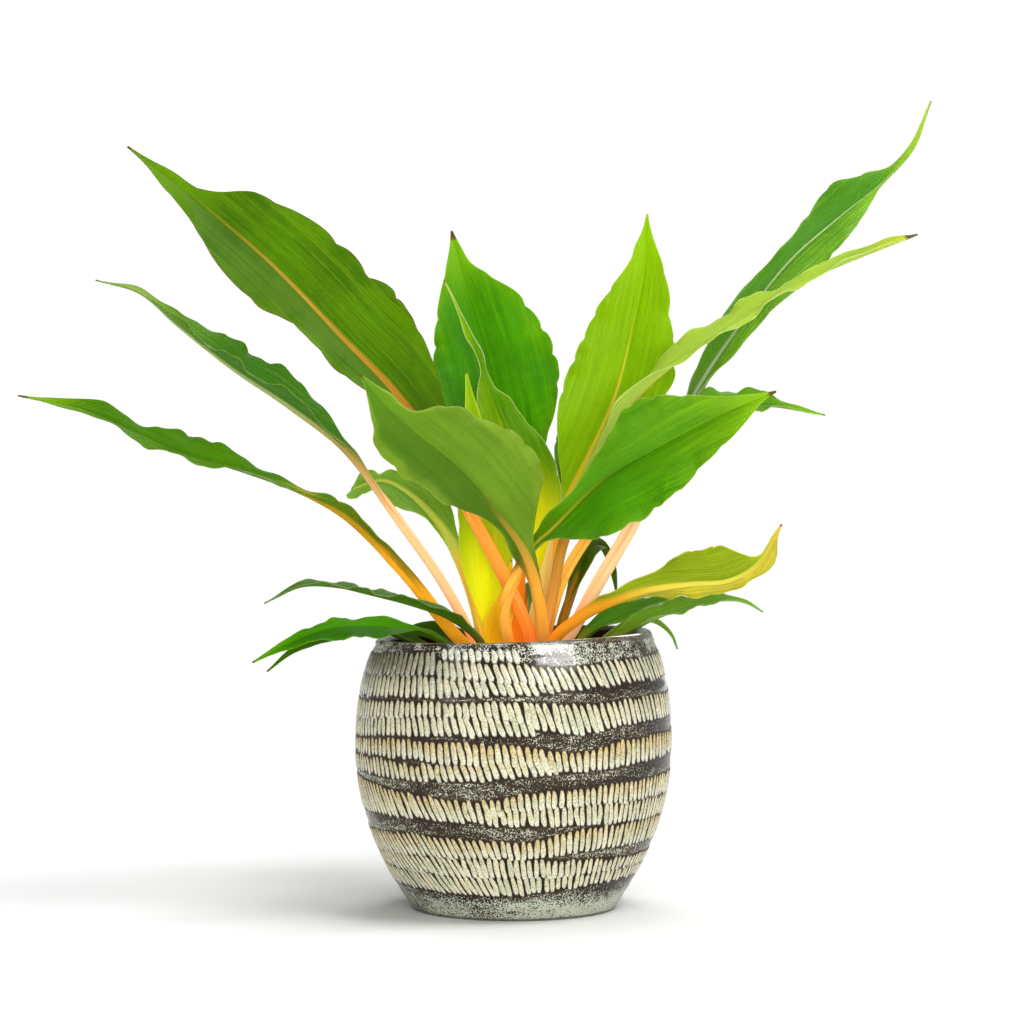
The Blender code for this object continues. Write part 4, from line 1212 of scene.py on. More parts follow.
def leaf_surface(leaf, share, across):
    """Upper and lower points, with the reach from the midrib and from the rim at each, in mm."""
    centre, right, up = leaf_frames(leaf, share)
    blade = np.clip((share - leaf.blade_from) / (1 - leaf.blade_from), 0, 1)[:, None]
    middle = (1 + leaf.blade_from) / 2
    folds = [STALK_FOLD, STALK_FOLD, leaf.fold, TIP_FOLD]
    fold = np.radians(np.interp(share, [0, leaf.blade_from, middle, 1], folds))[:, None]
    keels = [KEEL_STALK, KEEL_STALK, KEEL_BLADE, BLADE_THICK]
    keel = np.interp(share, [0, leaf.blade_from, middle, 1], keels)[:, None]
    q = across[None, :]
    left, right_half = (half_widths(leaf, share, side)[:, None] for side in (0, 1))
    half = np.where(q < 0, left, right_half)
    reach = np.abs(q) * half
    swell = np.sqrt(np.clip(4 * blade * (1 - blade), 0, 1))
    side = np.where(q < 0, SIDE_PHASE, 0)
    height = reach * np.sin(fold)
    wave_at = uneven(leaf, blade)
    ripple = leaf.ripple * swell * np.clip(half / RIPPLE_ROOM, 0, 1)
    height = height + ripple * q**2 * np.sin(math.tau * leaf.ripples * wave_at + leaf.phase + side)
    fine = np.sin(math.tau * FINE_WAVES * leaf.ripples * wave_at + 3 * leaf.phase + FINE_PHASE * side)
    height = height + FINE_WAVE * ripple * q**4 * fine
    height = height + ARCH * half * swell * np.sin(math.pi * np.abs(q))
    room = np.clip(half / PLEAT_ROOM, 0, 1)
    height = height - PLEAT_DEPTH * room * swell * np.sin(math.tau * PLEATS * np.abs(q)) * (1 - q**2)
    height = height - GROOVE_DEPTH * np.sqrt(1 - blade) * room * np.exp(-((reach / GROOVE_HALF) ** 2))
    sideways = (np.sign(q) * reach * np.cos(fold))[..., None]
    upper = centre[:, None] + sideways * right[:, None] + height[..., None] * up[:, None]
    normal = unit(np.cross(np.gradient(upper, axis=1), np.gradient(upper, axis=0)))
    stalk_like = (1 - blade) ** 4
    rib_half = RIB_TIP_HALF * blade + RIB_FOOT_HALF * (1 - blade)
    ridge = stalk_like * (1 - q**2) + (1 - stalk_like) * np.exp(-((reach / rib_half) ** 2))
    to_rim = half - reach
    body = RIM_THICK + (BLADE_THICK - RIM_THICK) * np.clip(to_rim / RIM_BEVEL, 0, 1)
    thick = body + (keel - BLADE_THICK) * ridge
    return upper, upper - normal * thick[..., None], reach, to_rim


upper_points = leaf_surface(broadest, np.linspace(0, 1, 50), np.linspace(-1, 1, 9))[0]
print("its highest point is", round(float(upper_points[..., 2].max())), "mm above the floor")

# %% [markdown]
# ### The leaf's mesh
#
# Rows of points run across the leaf, upper side first and then back along the lower side, so that each
# row is a ring and the whole leaf is one closed skin. With each point go a few numbers for the finish:
# how far along the leaf and along its blade it is, how far it is from the midrib and from the rim in
# millimetres, where it lies from the left rim to the right one, and whether it is on the lower side.

# %% Build one leaf
STALK_ROWS = 22
BLADE_ROWS = 92
BROAD = 15
BROAD_COLUMNS = 41
NARROW_COLUMNS = 21
LEAF_CREASE = 55


def leaf_mesh(leaf):
    """The closed skin of one leaf, with the numbers that its finish reads."""
    stalk_share = np.linspace(0, leaf.blade_from, STALK_ROWS, endpoint=False)
    blade_share = leaf.blade_from + (1 - leaf.blade_from) * np.linspace(0, 1, BLADE_ROWS)
    share = np.concatenate([stalk_share, blade_share])
    columns = BROAD_COLUMNS if leaf.half_width >= BROAD else NARROW_COLUMNS
    across = np.linspace(-1, 1, columns)
    upper, lower, reach, to_rim = leaf_surface(leaf, share, across)
    ring = np.concatenate([upper, lower[:, ::-1]], axis=1)
    rows, around = ring.shape[:2]
    faces = []
    for i in range(rows - 1):
        for j in range(around):
            k = (j + 1) % around
            faces.append((i * around + j, i * around + k, (i + 1) * around + k, (i + 1) * around + j))
    faces.append(list(range(around - 1, -1, -1)))
    faces.append(list(range((rows - 1) * around, rows * around)))
    mesh = mesh_of(leaf.name, ring.reshape(-1, 3), faces, crease=LEAF_CREASE)
    blade = (share - leaf.blade_from) / (1 - leaf.blade_from)
    store(mesh, "blade_share", np.repeat(blade[:, None], around, axis=1))
    store(mesh, "leaf_share", np.repeat(share[:, None], around, axis=1))
    store(mesh, "from_rib", np.concatenate([reach, reach[:, ::-1]], axis=1))
    store(mesh, "to_rim", np.concatenate([to_rim, to_rim[:, ::-1]], axis=1))
    wide = np.concatenate([across, across[::-1]])
    store(mesh, "across", np.repeat(wide[None], rows, axis=0))
    under = np.repeat([0, 1], columns)
    store(mesh, "under_side", np.repeat(under[None], rows, axis=0))
    return mesh


print("points in a broad leaf:", (STALK_ROWS + BLADE_ROWS) * 2 * BROAD_COLUMNS)

# %% [markdown]
# ## The leaves' colours
#
# No two leaves have the same colours. Old blades are deep green, young ones lime or yellow, and every
# leaf has its own stalk, from pale peach to strong orange. A table gives each leaf its colours, read off
# one by one, and one recipe turns them into a finish. What a table entry doesn't give, such as a shine, is
# as on most leaves.

# %% Each leaf's colours
@dataclass
class Look:
    """A leaf's colours. Its left half can have its own. lit is over 1 for a leaf that hangs in shade."""

    upper: str
    deep: str
    lower: str
    rim: str
    rib: str
    stalk: str
    foot: str = "#F08A1C"
    left: str = ""
    lower_left: str = ""
    edge: str = ""
    edge_from: float = 0.6
    edge_share: float = 0.5
    tip: str = ""
    tip_from: float = 0.72
    rib_foot: str = ""
    rib_reach: float = 0.6
    rib_half: float = 1.6
    keel: float = 1.0
    blush: tuple = (-0.04, 0.12)
    creep: float = 0.0
    olive: float = 0.5
    dry_from: float = 0.985
    glow: str = "#8FC400"
    rough: float = 0.42
    shine: float = 0.08
    veins: float = 0.6
    lit: float = 1.0


LOOKS = {
    "leaf_left_high": Look(
        "#6CA202", "#3A6602", "#7FA53A", "#7C5A1E", "#D9A83A", "#FAA23C", foot="#F07A28", left="#628A1C",
        edge="#72A400", edge_share=0.4, tip="#70A004", rib_foot="#F6A83E", rib_reach=0.9, rib_half=2.1,
        blush=(-0.04, 0.14), veins=0.8,
    ),
    # Its pale rib is partly painted sheen: the gloss along the midrib painted into its colour.
    "leaf_left_middle": Look(
        "#4E8E02", "#336800", "#4C8608", "#88A848", "#B4C478", "#F6C48C", foot="#F8AC70", left="#4A8600",
        tip="#A4BC4A", tip_from=0.58, rib_foot="#D8A848", rib_reach=1.2, rib_half=1.7, keel=2.6,
        blush=(0.0, 0.3), veins=0.5,
    ),
    "leaf_left_low": Look(
        "#5A9404", "#3C7400", "#7A8E14", "#7A9A30", "#94A030", "#F0A41C", foot="#F59A20", left="#7EA82C",
        tip="#98C400", tip_from=0.78, rib_foot="#D89A18", rib_reach=0.4, blush=(-0.06, 0.12), creep=0.12,
        olive=0.9, dry_from=0.97, veins=0.8,
    ),
    "leaf_left_back": Look(
        "#86AE38", "#5E8A1C", "#86A038", "#A8BE50", "#FBE058", "#F4CE44", foot="#F8B060", left="#7AA02C",
        rib_foot="#FFE25A", rib_reach=1.3, rib_half=2.8, blush=(-0.04, 0.16), olive=0.1, veins=0.9, lit=1.7,
    ),
    "leaf_front_left": Look(
        "#608424", "#3E6010", "#5C8020", "#9CB45C", "#4A6C14", "#F8A838", foot="#F5883C", left="#7EA62A",
        lower_left="#84AC2C", edge="#B4D044", edge_from=0.7, tip="#5E9018", tip_from=0.45,
        rib_foot="#D8A83C", rib_reach=0.97, rib_half=0.7, blush=(-0.03, 0.2), creep=0.04, olive=0.3,
        rough=0.5, veins=0.35,
    ),
    # Its rib is dark green above its yellow foot: painted shade in the groove along the midrib.
    "leaf_front_right": Look(
        "#5EB002", "#3A8600", "#8DB846", "#B4D060", "#2A6204", "#FFB848", foot="#F27C24", left="#62A404",
        edge="#84BC14", edge_from=0.7, tip="#98CC14", tip_from=0.4, rib_foot="#C8C034", rib_reach=0.7,
        rib_half=0.8, blush=(-0.06, 0.05), creep=0.1, dry_from=0.97, rough=0.3, shine=0.15, veins=0.7,
        lit=1.05,
    ),
    "leaf_back_tall": Look(
        "#5AB002", "#388200", "#6FA030", "#98C82C", "#3F8606", "#F08C1C", left="#4A9800", edge="#8CC40A",
        tip="#86C008", tip_from=0.7, rib_reach=0.4, dry_from=0.965, lit=1.15,
    ),
    "leaf_lime_tall": Look(
        "#94C400", "#74A400", "#A4C840", "#B4D040", "#D4C83A", "#F6B42C", left="#94C002",
        rib_foot="#F0C838", rib_reach=0.75, rib_half=1.3, glow="#B4DC00", olive=0, dry_from=1.1, veins=0.9,
        lit=1.2,
    ),
    "leaf_lime_centre": Look(
        "#64A000", "#468400", "#A8C830", "#E8E8A0", "#B8CC10", "#E6E004", foot="#EDC810", left="#84AE04",
        lower_left="#B4D020", edge="#8EBE1C", tip="#CCD84C", tip_from=0.84, rib_foot="#E0DC20",
        rib_reach=0.6, rib_half=1.2, blush=(0.14, 0.58), glow="#C4E400", olive=0,
    ),
    "leaf_young_yellow": Look(
        "#8CB400", "#6CA000", "#B4CC20", "#D0DC50", "#D4D810", "#D8DE14", foot="#F4CC08", rib_reach=0.4,
        blush=(0.2, 0.8), glow="#D8E000", olive=0, lit=1.3,
    ),
    "leaf_sheath_golden": Look(
        "#FFD420", "#FBC40C", "#F8D038", "#FCE060", "#FCD030", "#FFCC1C", foot="#FCB414", rib_reach=0.4,
        blush=(0.0, 0.4), glow="#FFD010", olive=0, lit=1.2,
    ),
    "leaf_sheath_pale": Look(
        "#FFE484", "#FCCC58", "#FFDC80", "#FCE8B8", "#FCD468", "#FFC850", foot="#F8A030", rib_reach=0.4,
        blush=(0.0, 0.4), glow="#FFD850", olive=0, lit=1.2,
    ),
    "leaf_right_curved": Look(
        "#B8CE50", "#88A82C", "#B8CC58", "#C8D078", "#C0CC60", "#A87828", foot="#E8A048", left="#A8C244",
        tip="#FCE030", tip_from=0.84, rib_reach=0.7, rib_half=0.9, blush=(-0.1, 0.06), creep=0.3, olive=0.3,
        dry_from=0.965, glow="#B4DC00", veins=0.9, lit=1.4,
    ),
    # Its pale, whitish rib is partly painted sheen: the gloss along the midrib painted into its colour.
    "leaf_right_high": Look(
        "#98D038", "#4C8A1C", "#86AA50", "#B2C47A", "#C0D498", "#F8C890", foot="#F8A868", left="#52941A",
        edge="#8CC814", tip="#BEE038", rib_foot="#A8B890", rib_reach=0.9, rib_half=0.9, blush=(-0.1, 0.02),
        dry_from=1.1, shine=0.15, veins=0.9, lit=1.15,
    ),
    "leaf_right_back": Look(
        "#70B002", "#569400", "#A6C840", "#BFDB36", "#B8C840", "#F0B848", tip="#8CC41C", rib_reach=0.4,
        olive=0.2,
    ),
    "leaf_right_keeled": Look(
        "#92A618", "#6E8004", "#9AAE20", "#E8CC50", "#FFD850", "#F49A24", foot="#EA7408", left="#E8B430",
        lower_left="#FFD244", edge="#90A814", tip="#FCC038", tip_from=0.84, rib_foot="#F8A020",
        rib_reach=1.0, rib_half=2.4, blush=(-0.06, 0.24), veins=0.7, lit=1.25,
    ),
    "leaf_low_right_upper": Look(
        "#5C9C02", "#3C7400", "#7EA83A", "#8CB83A", "#8AA83A", "#8A8A18", foot="#F0A830", rib_reach=0.2,
    ),
    "leaf_low_right": Look(
        "#7CAA2A", "#5A8610", "#9ABE5C", "#A8C868", "#98B850", "#8A9A20", foot="#F0A830", rib_reach=0.2,
    ),
    "leaf_low_right_small": Look(
        "#7EA529", "#6A921E", "#98B84E", "#A4BF65", "#98B850", "#4A5C10", foot="#3A4A10", rib_reach=0.1,
    ),
    "leaf_low_left_upper": Look(
        "#4E7A14", "#2E5600", "#5C861C", "#8CA458", "#4C7020", "#6A6418", foot="#8A6A20", left="#446810",
        rib_reach=0.6, rib_half=0.8, shine=0.3, veins=0.8,
    ),
    "leaf_low_left": Look(
        "#4C9800", "#327400", "#6EA030", "#78B020", "#5C8C1C", "#4A6A1C", foot="#5A6420", left="#3C8400",
        tip="#64A408", rib_reach=0.2, shine=0.05, veins=0.7, lit=1.1,
    ),
    "leaf_low_left_under": Look(
        "#466E08", "#305A00", "#5E8C2A", "#6A9A2A", "#608A20", "#4A6420", rib_reach=0.2,
    ),
    "leaf_low_left_inner": Look(
        "#3C6A08", "#2E5600", "#5C8A2C", "#6A9A2A", "#608A20", "#4A6420", rib_reach=0.2,
    ),
    "leaf_back_drooping": Look(
        "#4A6404", "#324600", "#7A8420", "#88A848", "#7A7A18", "#A8701C", foot="#D08A2C", rib_reach=0.3,
        blush=(-0.1, 0.16), creep=0.5,
    ),
    "leaf_back_left": Look("#549004", "#386C00", "#7CA440", "#98BC3A", "#C8A030", "#F4A030", tip="#78AC10"),
    "leaf_back_right": Look(
        "#5C9604", "#3E7400", "#80A83C", "#9CC03A", "#C8A030", "#F4A030", tip="#80B010",
    ),
    "leaf_back_low": Look("#4A8602", "#306400", "#6C9A30", "#80AA34", "#90A030", "#EE9A2C", rib_reach=0.3),
}
print(len(LOOKS), "looks")

# %% [markdown]
# A leaf's halves can differ in colour, because one of them is often turned to the light, and a band along
# the rims can be brighter. Veins are a fine wave across the blade, jittered by noise, which dies out
# where the blade is too narrow to show it. The noise is drawn out along the leaf, as its fibres are, and
# each leaf reads another layer of it, so no two leaves have the same streaks. Each kind of streak is
# given as how many there are across half a leaf and along it, with its layer and its detail.

# %% What a leaf's colours are made from
BANDS = (9, 1.6, 0, 1)
STRIPS = (34, 4, 5, 1)
CRINKLES = (5, 60, 7, 2)
STALK_STREAKS = (7, 6, 9, 3)
LEAF_CLOUDS = 24
LEAF_GRAIN = 520
VEIN_SPACING = 1.2
VEIN_JITTER = 9
MIDRIB_EDGE = 0.01


class Skin(Finish):
    """A leaf's finish, with the numbers stored on its mesh and the patterns that its colours share."""

    def __init__(self, leaf, look, layer):
        super().__init__(leaf.name.replace("leaf_", "skin_of_"))
        self.look, self.layer = look, layer
        self.blade, self.share = self.stored("blade_share"), self.stored("leaf_share")
        self.from_rib, self.to_rim = self.stored("from_rib"), self.stored("to_rim")
        self.across, self.under = self.stored("across"), self.stored("under_side")
        self.room = ((self.from_rib + self.to_rim) / leaf.half_width).clear_of(0.15, 0.55)
        rightness = self.across.clear_of(-MIDRIB_EDGE, MIDRIB_EDGE) * 2 - 1
        aside = self.from_rib * rightness / leaf.half_width
        self.bands, self.strips = self.fibres(aside, *BANDS), self.fibres(aside, *STRIPS)
        self.crinkle, self.streak = self.fibres(aside, *CRINKLES), self.fibres(self.across, *STALK_STREAKS)
        self.cloud = self.noise(self.place(), LEAF_CLOUDS) - 0.5
        fading_to_tip = 1 - self.blade.clear_of(0.4, 0.75) * 0.85
        self.grain = (self.noise(self.place(), LEAF_GRAIN) - 0.5) * fading_to_tip
        waves = aside * (math.tau * leaf.half_width / VEIN_SPACING) + self.strips * VEIN_JITTER
        strength = (0.6 + self.strips * 1.6).clear_of(0.1, 0.7)
        self.vein = (waves.sine() * 0.5 + 0.5) ** 1.5 * self.room * strength

    def fibres(self, sideways, across, along, layer, detail):
        """Noise around 0 that is drawn out along the leaf."""
        where = self.vector(sideways * across, self.share * along, self.layer + layer)
        return self.noise(where, 1, detail) - 0.5

    def paint(self, code, otherwise=""):
        """The first colour that is given, as much brighter as the look's lit says."""
        return (*[min(c * self.look.lit, 1) for c in seen(code or otherwise)[:3]], 1)


print("veins are", VEIN_SPACING, "mm apart")

# %% [markdown]
# The blade is painted as a painter would do it: each side gets its base colour, then its tip and the band
# along its rims. Deep green is laid over both sides in clouds, and where the relief's folds are low, as
# painted shade in them; it is laid along the veins too, with pale lines between them. The rim and the rib
# come last, because they lie on top of everything else. Their widths are in millimetres, so they are alike
# on a large leaf and a small one.

# %% The blade's colour
OLIVE = tone("#5E5408")


def one_side(f, base, left, tip_strength):
    look = f.look
    halves = f.across.clear_of(-0.06, 0.06)
    colour = f.mix(halves, f.paint(left, base), f.paint(base))
    near_tip = f.blade.clear_of(look.tip_from, 1.0) * tip_strength
    colour = f.mix(near_tip, colour, f.paint(look.tip, base))
    along_rims = (abs(f.across) + f.cloud * 0.6).clear_of(look.edge_from, 1.0) * look.edge_share
    return f.mix(along_rims, colour, f.paint(look.edge, base))


def blade_colour(f):
    look = f.look
    upper, lower = one_side(f, look.upper, look.left, 1), one_side(f, look.lower, look.lower_left, 0.7)
    colour = f.mix(f.under, upper, lower)
    # This follows the relief's fold noise, so the deep green it lays is painted shade in the low folds.
    fold_shade = f.bands * 1.1 + f.strips * 0.7 + f.crinkle * 0.5
    pale = (0.62 + fold_shade * f.room + f.cloud * 1.3 + f.grain * 0.5).clear_of(0.2, 0.85)
    deep = (1 - pale) * (1 - 0.5 * f.under) * (0.75 - 0.55 * f.blade.clear_of(0.7, 0.9))
    colour = f.mix(deep, colour, f.paint(look.deep))
    colour = f.mix((1 - f.blade.clear_of(0.02, 0.28)) * look.olive, colour, OLIVE)
    colour = f.mix(f.vein * look.veins, colour, f.paint(look.deep))
    pale_lines = (f.strips.clear_of(0.02, 0.2) * f.room - f.vein).clear_of(0.0, 1.0)
    return f.mix(pale_lines * 0.14, colour, f.paint(look.rib))


def with_rim_and_rib(f, colour):
    look = f.look
    rim = 1 - f.to_rim.clear_of(0.15, 0.6)
    colour = f.mix(rim * 0.6, colour, f.paint(look.rim))
    narrowing = (0.5 + 1.8 * (1 - f.blade) ** 3) * (1 + (look.keel - 1) * f.under)
    rib = 1 - (f.from_rib / (look.rib_half * narrowing)).clear_of(0.3, 1.0)
    fading = 1 - f.blade.clear_of(look.rib_reach * 0.6, look.rib_reach)
    rib_tone = f.mix(f.blade.clear_of(0.1, 0.5), f.paint(look.rib_foot, look.stalk), f.paint(look.rib))
    return f.mix(rib * fading, colour, rib_tone)


# %% [markdown]
# A stalk goes from one tone at the foot to another above, with long streaks and a few small brown spots.
# Its channel is a little greener along the rims, and on some leaves the green of the blade creeps down
# one side as an olive stripe.

# %% The stalk's colour
SPECK_BROWN = tone("#B4561A")


def stalk_colour(f, leaf):
    look = f.look
    colour = f.mix((f.share + f.streak * 0.16).clear_of(0.03, 0.24), tone(look.foot), tone(look.stalk))
    streaked = (f.streak * 3 + 0.3).clear_of(0.2, 1.0) * 0.4
    colour = f.mix(streaked, colour, tone(look.rib_foot or look.foot))
    green = (1 - f.to_rim.clear_of(0.2, 0.8)) * 0.3 * f.share.clear_of(0.1, 0.3)
    if look.creep:
        low_part = f.share.clear_of(leaf.blade_from - look.creep, leaf.blade_from)
        green = green + low_part * (f.across * -1).clear_of(0, 0.5)
    colour = f.mix(green.clear_of(0.0, 1.0) * 0.85, colour, OLIVE)
    spots = f.noise(f.place(), 900, 1).clear_of(0.7, 0.74)
    return f.mix(spots * 0.35, colour, SPECK_BROWN)


# %% [markdown]
# The two meet where the orange blush of the stalk runs out into the blade. A leaf is thin enough to let
# light through, so part of the blade's shading comes from a Translucent shader in the leaf's own bright
# green. The juicy stalks gather the light that falls on the blades above, which a faint emission in the
# stalk's own colour stands for. It is weak, because a stalk shouldn't shine in a dark scene.

# %% The whole leaf's finish
GLOW_SHARE = 0.3
STALK_GLOW = 0.2
BLACK = (0, 0, 0, 1)
DRY_BROWN = tone("#6B4A22")
DRY_FADE = 0.012
LEAF_BUMP = 0.5
LEAF_RELIEF = 0.3


def leaf_finish(leaf, look, layer):
    f = Skin(leaf, look, layer)
    blade_paint, stalk_paint = with_rim_and_rib(f, blade_colour(f)), stalk_colour(f, leaf)
    stalk = 1 - (f.blade + f.from_rib * 0.012 + f.streak * 0.1).clear_of(*look.blush)
    colour = f.mix(stalk, blade_paint, stalk_paint)
    dry = (f.blade + f.grain * 0.01).clear_of(look.dry_from, look.dry_from + DRY_FADE)
    colour = f.mix(dry, colour, DRY_BROWN)
    folds = (f.bands * 0.9 + f.strips * 0.5 + f.crinkle * 0.5) * f.room
    height = folds + f.vein * -0.7 + f.grain * 0.15
    relief = f.bump(height * (1 - stalk * 0.7), LEAF_BUMP, LEAF_RELIEF)
    rough = look.rough + 0.18 * f.grain + 0.12 * f.under
    f.finish_with(Base_Color=colour, Roughness=rough, Normal=relief, Specular_IOR_Level=look.shine)
    lit_stalk = f.mix(stalk * (1 - dry), BLACK, stalk_paint)
    f.finish_with(Emission_Color=lit_stalk, Emission_Strength=STALK_GLOW)
    glow = f.node("ShaderNodeBsdfTranslucent", {}, {"Color": tone(look.glow)})
    surface = Wire(f, f.shader.outputs[0])
    both = f.node("ShaderNodeMixShader", {}, {0: GLOW_SHARE * (1 - stalk), 1: surface, 2: glow})
    f.feed(f.result.inputs["Surface"], both)
    return f.material


# %% [markdown]
# One loop grows all the leaves, each from its entry in the table and its look. Their noise is a few
# layers apart from leaf to leaf.

# %% Grow all the leaves
LAYERS_A_LEAF = 3


def grow(leaf, layer):
    finish = leaf_finish(leaf, LOOKS[leaf.name], layer)
    name = leaf.name.replace("leaf_", "") + "_leaf"
    piece = add_piece(name, leaf_mesh(leaf), finish, leaf.slot, stands_for=leaf.name)
    return len(piece.data.polygons)


print("faces of the leaves:", sum(grow(leaf, LAYERS_A_LEAF * i) for i, leaf in enumerate(LEAVES)))

# %% [markdown]
# ## The soil
#
# Potting soil is seen between the stalks from above and from the side through the gap at the rim. It is a
# mound of crumbs: a fine, roughened surface carries the mass, and loose lumps of bark and peat lie on it.
# A bump alone would look like painted cardboard, because the light comes in flat over the rim. The finish
# of both is dark peat with paler bark in it, and the same mottling roughens it.

# %% The soil's finish
PEAT_DARK = tone("#2A1D15")
PEAT = tone("#4A3424")
BARK = tone("#7A6048")
SOIL_BUMP = 0.8
SOIL_RELIEF = 0.8


def soil_finish():
    f = Finish("peat_and_bark")
    coarse, fine = f.noise(f.place(), 160, 3), f.noise(f.place(), 900, 3, 0.7)
    colour = f.mix(coarse.clear_of(0.35, 0.65), PEAT_DARK, PEAT)
    colour = f.mix(fine.clear_of(0.62, 0.72) * 0.5, colour, BARK)
    relief = f.bump(coarse * 0.6 + fine * 0.4, SOIL_BUMP, SOIL_RELIEF)
    return f.finish_with(Base_Color=colour, Roughness=0.85 + 0.1 * fine, Normal=relief)


peat = soil_finish()
print("the soil's finish has", len(peat.node_tree.nodes), "nodes")

# %% [markdown]
# The mound is turned like the pot, a hair smaller than the room inside it. Its top follows the same
# surface that the stalks grow out of, roughened by two sizes of lumps that fade out at the wall.

# %% Make the soil
SOIL_RINGS = 56
SOIL_SIDE_RINGS = 8
SOIL_SIDES = 120
SOIL_ROUGH = 0.9
SOIL_GAP = 0.3
LUMP_SIZE = 5
SMALL_LUMP_SIZE = 2.2
SMALL_LUMPS = 0.6
LUMP_LAYER = 3.7
SOIL_FADE = 4


def rough_at(x, y, size):
    return noise.noise(Vector((x / size, y / size, LUMP_LAYER)))


def soil_radius(z):
    return float(outer_radius(z)) - WALL - 2 * SOIL_GAP


def make_soil(finish):
    edge = soil_radius(SOIL_EDGE)
    top = [(edge * (1 - inward), SOIL_EDGE) for inward in np.linspace(0, 1, SOIL_RINGS, endpoint=False)]
    side_heights = np.linspace(FLOOR + WALL, SOIL_EDGE, SOIL_SIDE_RINGS, endpoint=False)
    side = [(soil_radius(z), z) for z in side_heights]
    bottom = [(float(outer_radius(FLOOR + WALL)) - 2 * WALL - SOIL_GAP, FLOOR + SOIL_GAP)]
    points, faces = spun(np.array(bottom + side + top), SOIL_SIDES)
    for p in points:
        x, y, z = p
        if z < SOIL_EDGE:
            p[2] = tilted(x, z)
            continue
        fade = min(1, (edge - math.hypot(x, y)) / SOIL_FADE)
        lumps = rough_at(x, y, LUMP_SIZE) + SMALL_LUMPS * rough_at(x, y, SMALL_LUMP_SIZE)
        p[2] = soil_height(x, y) + SOIL_ROUGH * fade * lumps - SOIL_GAP
    mesh = mesh_of("potting_soil", points, faces)
    print("soil:", len(mesh.polygons), "faces")
    return add_piece("potting_soil", mesh, finish, "soil", stands_for="soil")


make_soil(peat)

# %% [markdown]
# Each crumb is a small ball with few faces, squashed and dented at random, turned, and partly sunk into
# the mound. A particle system could scatter them, but a seeded loop gives the same crumbs on every run
# and leaves a plain mesh. It is one mesh, because no crumb is a piece of its own. Their places are drawn
# so that they lie evenly over the round surface, which is why the distance from the middle is the root of
# a random number.

# %% Scatter crumbs on it
CRUMBS = 520
CRUMB_SIZES = (0.7, 2.3)
CRUMB_SQUASH = (0.5, 1)
CRUMB_FLATNESS = (1, 1, 0.7)
CRUMB_DENTS = 0.13
CRUMB_SPIN = 7
CRUMB_RAISED = 0.25
CRUMB_EDGE = 4
CRUMB_CREASE = 35


def small_ball():
    """The points and faces of a ball with few faces."""
    bm = bmesh.new()
    bmesh.ops.create_icosphere(bm, subdivisions=1, radius=1)
    points, faces = np.array([v.co for v in bm.verts]), [[v.index for v in face.verts] for face in bm.faces]
    bm.free()
    return points, faces


def make_crumbs(finish):
    chance = np.random.default_rng(5)
    ball, ball_faces = small_ball()
    edge = float(outer_radius(SOIL_EDGE)) - WALL - CRUMB_EDGE
    points, faces = [], []
    for i in range(CRUMBS):
        out, turn = edge * math.sqrt(chance.uniform()), chance.uniform(0, math.tau)
        x, y = out * math.sin(turn), out * math.cos(turn)
        size = chance.uniform(*CRUMB_SIZES) * chance.uniform(*CRUMB_SQUASH, 3) * CRUMB_FLATNESS
        lump = ball * size * (1 + chance.normal(0, CRUMB_DENTS, (len(ball), 1)))
        c, s = math.cos(turn * CRUMB_SPIN), math.sin(turn * CRUMB_SPIN)
        lump = lump @ np.array([[c, s, 0], [-s, c, 0], [0, 0, 1]])
        faces += [[i * len(ball) + k for k in face] for face in ball_faces]
        points.append(lump + (x, y, float(soil_height(x, y)) + size[2] * CRUMB_RAISED))
    mesh = mesh_of("soil_crumbs", np.vstack(points), faces, crease=CRUMB_CREASE)
    print("crumbs:", len(mesh.polygons), "faces")
    return add_piece("soil_crumbs", mesh, finish, "soil")


make_crumbs(peat)

# %% [markdown]
# ## The floor and the light
#
# The object stands on a plain, matt white floor. It is so wide that its far border is the horizon, and a
# faint grain keeps it from looking like a flat fill.

# %% Lay the floor
FLOOR_HALF = 30000


def lay_floor():
    corners = [(x * FLOOR_HALF, y * FLOOR_HALF, 0) for x, y in ((-1, -1), (1, -1), (1, 1), (-1, 1))]
    floor = bpy.data.objects.new("floor", mesh_of("floor", corners, [(0, 1, 2, 3)]))
    bpy.context.scene.collection.objects.link(floor)
    f = Finish("matt_white_floor")
    grain = f.noise(f.place(), 300, 2)
    white = f.mix(grain, tone("#FAFAFA"), tone("#F7F7F7"))
    floor.data.materials.append(f.finish_with(Base_Color=white, Roughness=1, Specular_IOR_Level=0))


lay_floor()
print("the floor is", 2 * FLOOR_HALF * MM, "m wide")

# %% [markdown]
# A broad sun from the right and above is the main light: being far away it lights the floor evenly, so
# the floor stays white out to the horizon, and its width makes the shadow soft. A weaker sun stands
# nearly overhead, a little behind the plant, and the sky fills the shadows. Of the four panels only the
# front one lights the surfaces that face the camera. The others are there for the gloss of the glaze and
# the leaves, which shows them as streaks. A picture of a studio could stand round the plant instead, but
# lamps that each have one job are easier to set.

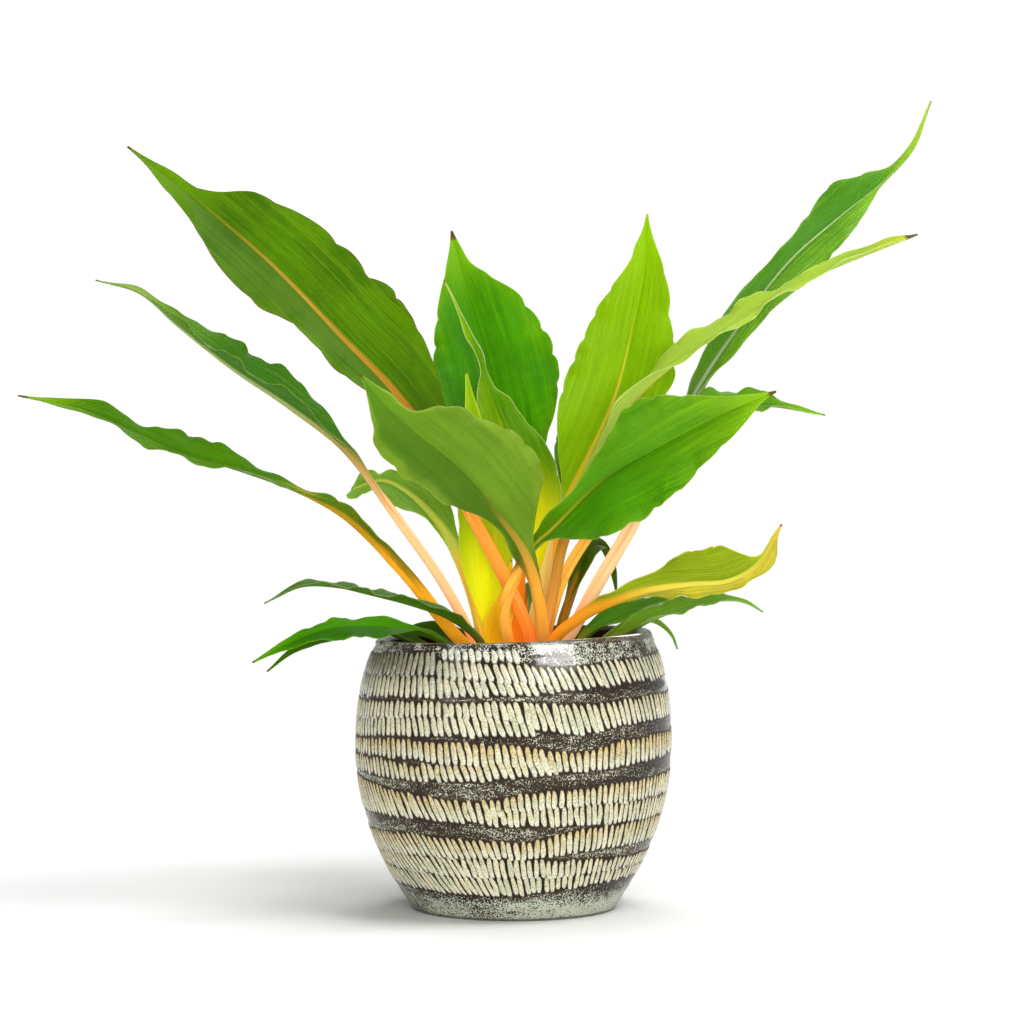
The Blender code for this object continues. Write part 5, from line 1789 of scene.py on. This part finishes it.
# %% Hang the lights
SUNS = (
    ("sun", (0.4, -0.15, 0.9), 1.8, 30),
    ("sun_behind", (0.02, 0.3, 0.95), 0.85, 24),
)
SKY = 0.32
SKY_SEEN = 1.05
PANELS = (
    ("panel_right", (778, -1110, 970), (850, 480), 16, True),
    ("panel_left", (-1000, -900, 500), (300, 900), 2.5, True),
    ("panel_front", (150, -1700, 300), (900, 500), 18, False),
    ("panel_back", (300, 1100, 900), (900, 500), 6, True),
)
AIM = (0, 0, 120)


def aim(light, place, at):
    light.location = Vector(place)
    light.rotation_euler = (Vector(at) - Vector(place)).to_track_quat("-Z", "Y").to_euler()
    bpy.context.scene.collection.objects.link(light)


def hang_lights():
    for name, came_from, strength, width in SUNS:
        sun = bpy.data.lights.new(name, "SUN")
        sun.energy = strength
        sun.angle = math.radians(width)
        aim(bpy.data.objects.new(name, sun), came_from, (0, 0, 0))
    for name, place, size, power, for_gloss in PANELS:
        panel = bpy.data.lights.new(name, "AREA")
        panel.shape = "RECTANGLE"
        panel.size, panel.size_y = (s * MM for s in size)
        panel.energy = power
        panel_object = bpy.data.objects.new(name, panel)
        panel_object.visible_glossy = for_gloss
        panel_object.visible_diffuse = not for_gloss
        aim(panel_object, Vector(place) * MM, Vector(AIM) * MM)


def light_sky():
    """A sky that lights weakly, and that the camera sees as white."""
    world = bpy.data.worlds.new("studio")
    world.use_nodes = True
    bpy.context.scene.world = world
    tree = world.node_tree
    sky = tree.nodes["Background"]
    sky.inputs["Color"].default_value = (1, 1, 1, 1)
    ray = tree.nodes.new("ShaderNodeLightPath")
    level = tree.nodes.new("ShaderNodeMapRange")
    level.inputs["To Min"].default_value = SKY
    level.inputs["To Max"].default_value = SKY_SEEN
    tree.links.new(ray.outputs["Is Camera Ray"], level.inputs["Value"])
    tree.links.new(level.outputs["Result"], sky.inputs["Strength"])


hang_lights()
light_sky()
bpy.context.scene.view_settings.view_transform = "Standard"
print(len(SUNS), "suns,", len(PANELS), "panels and a sky")
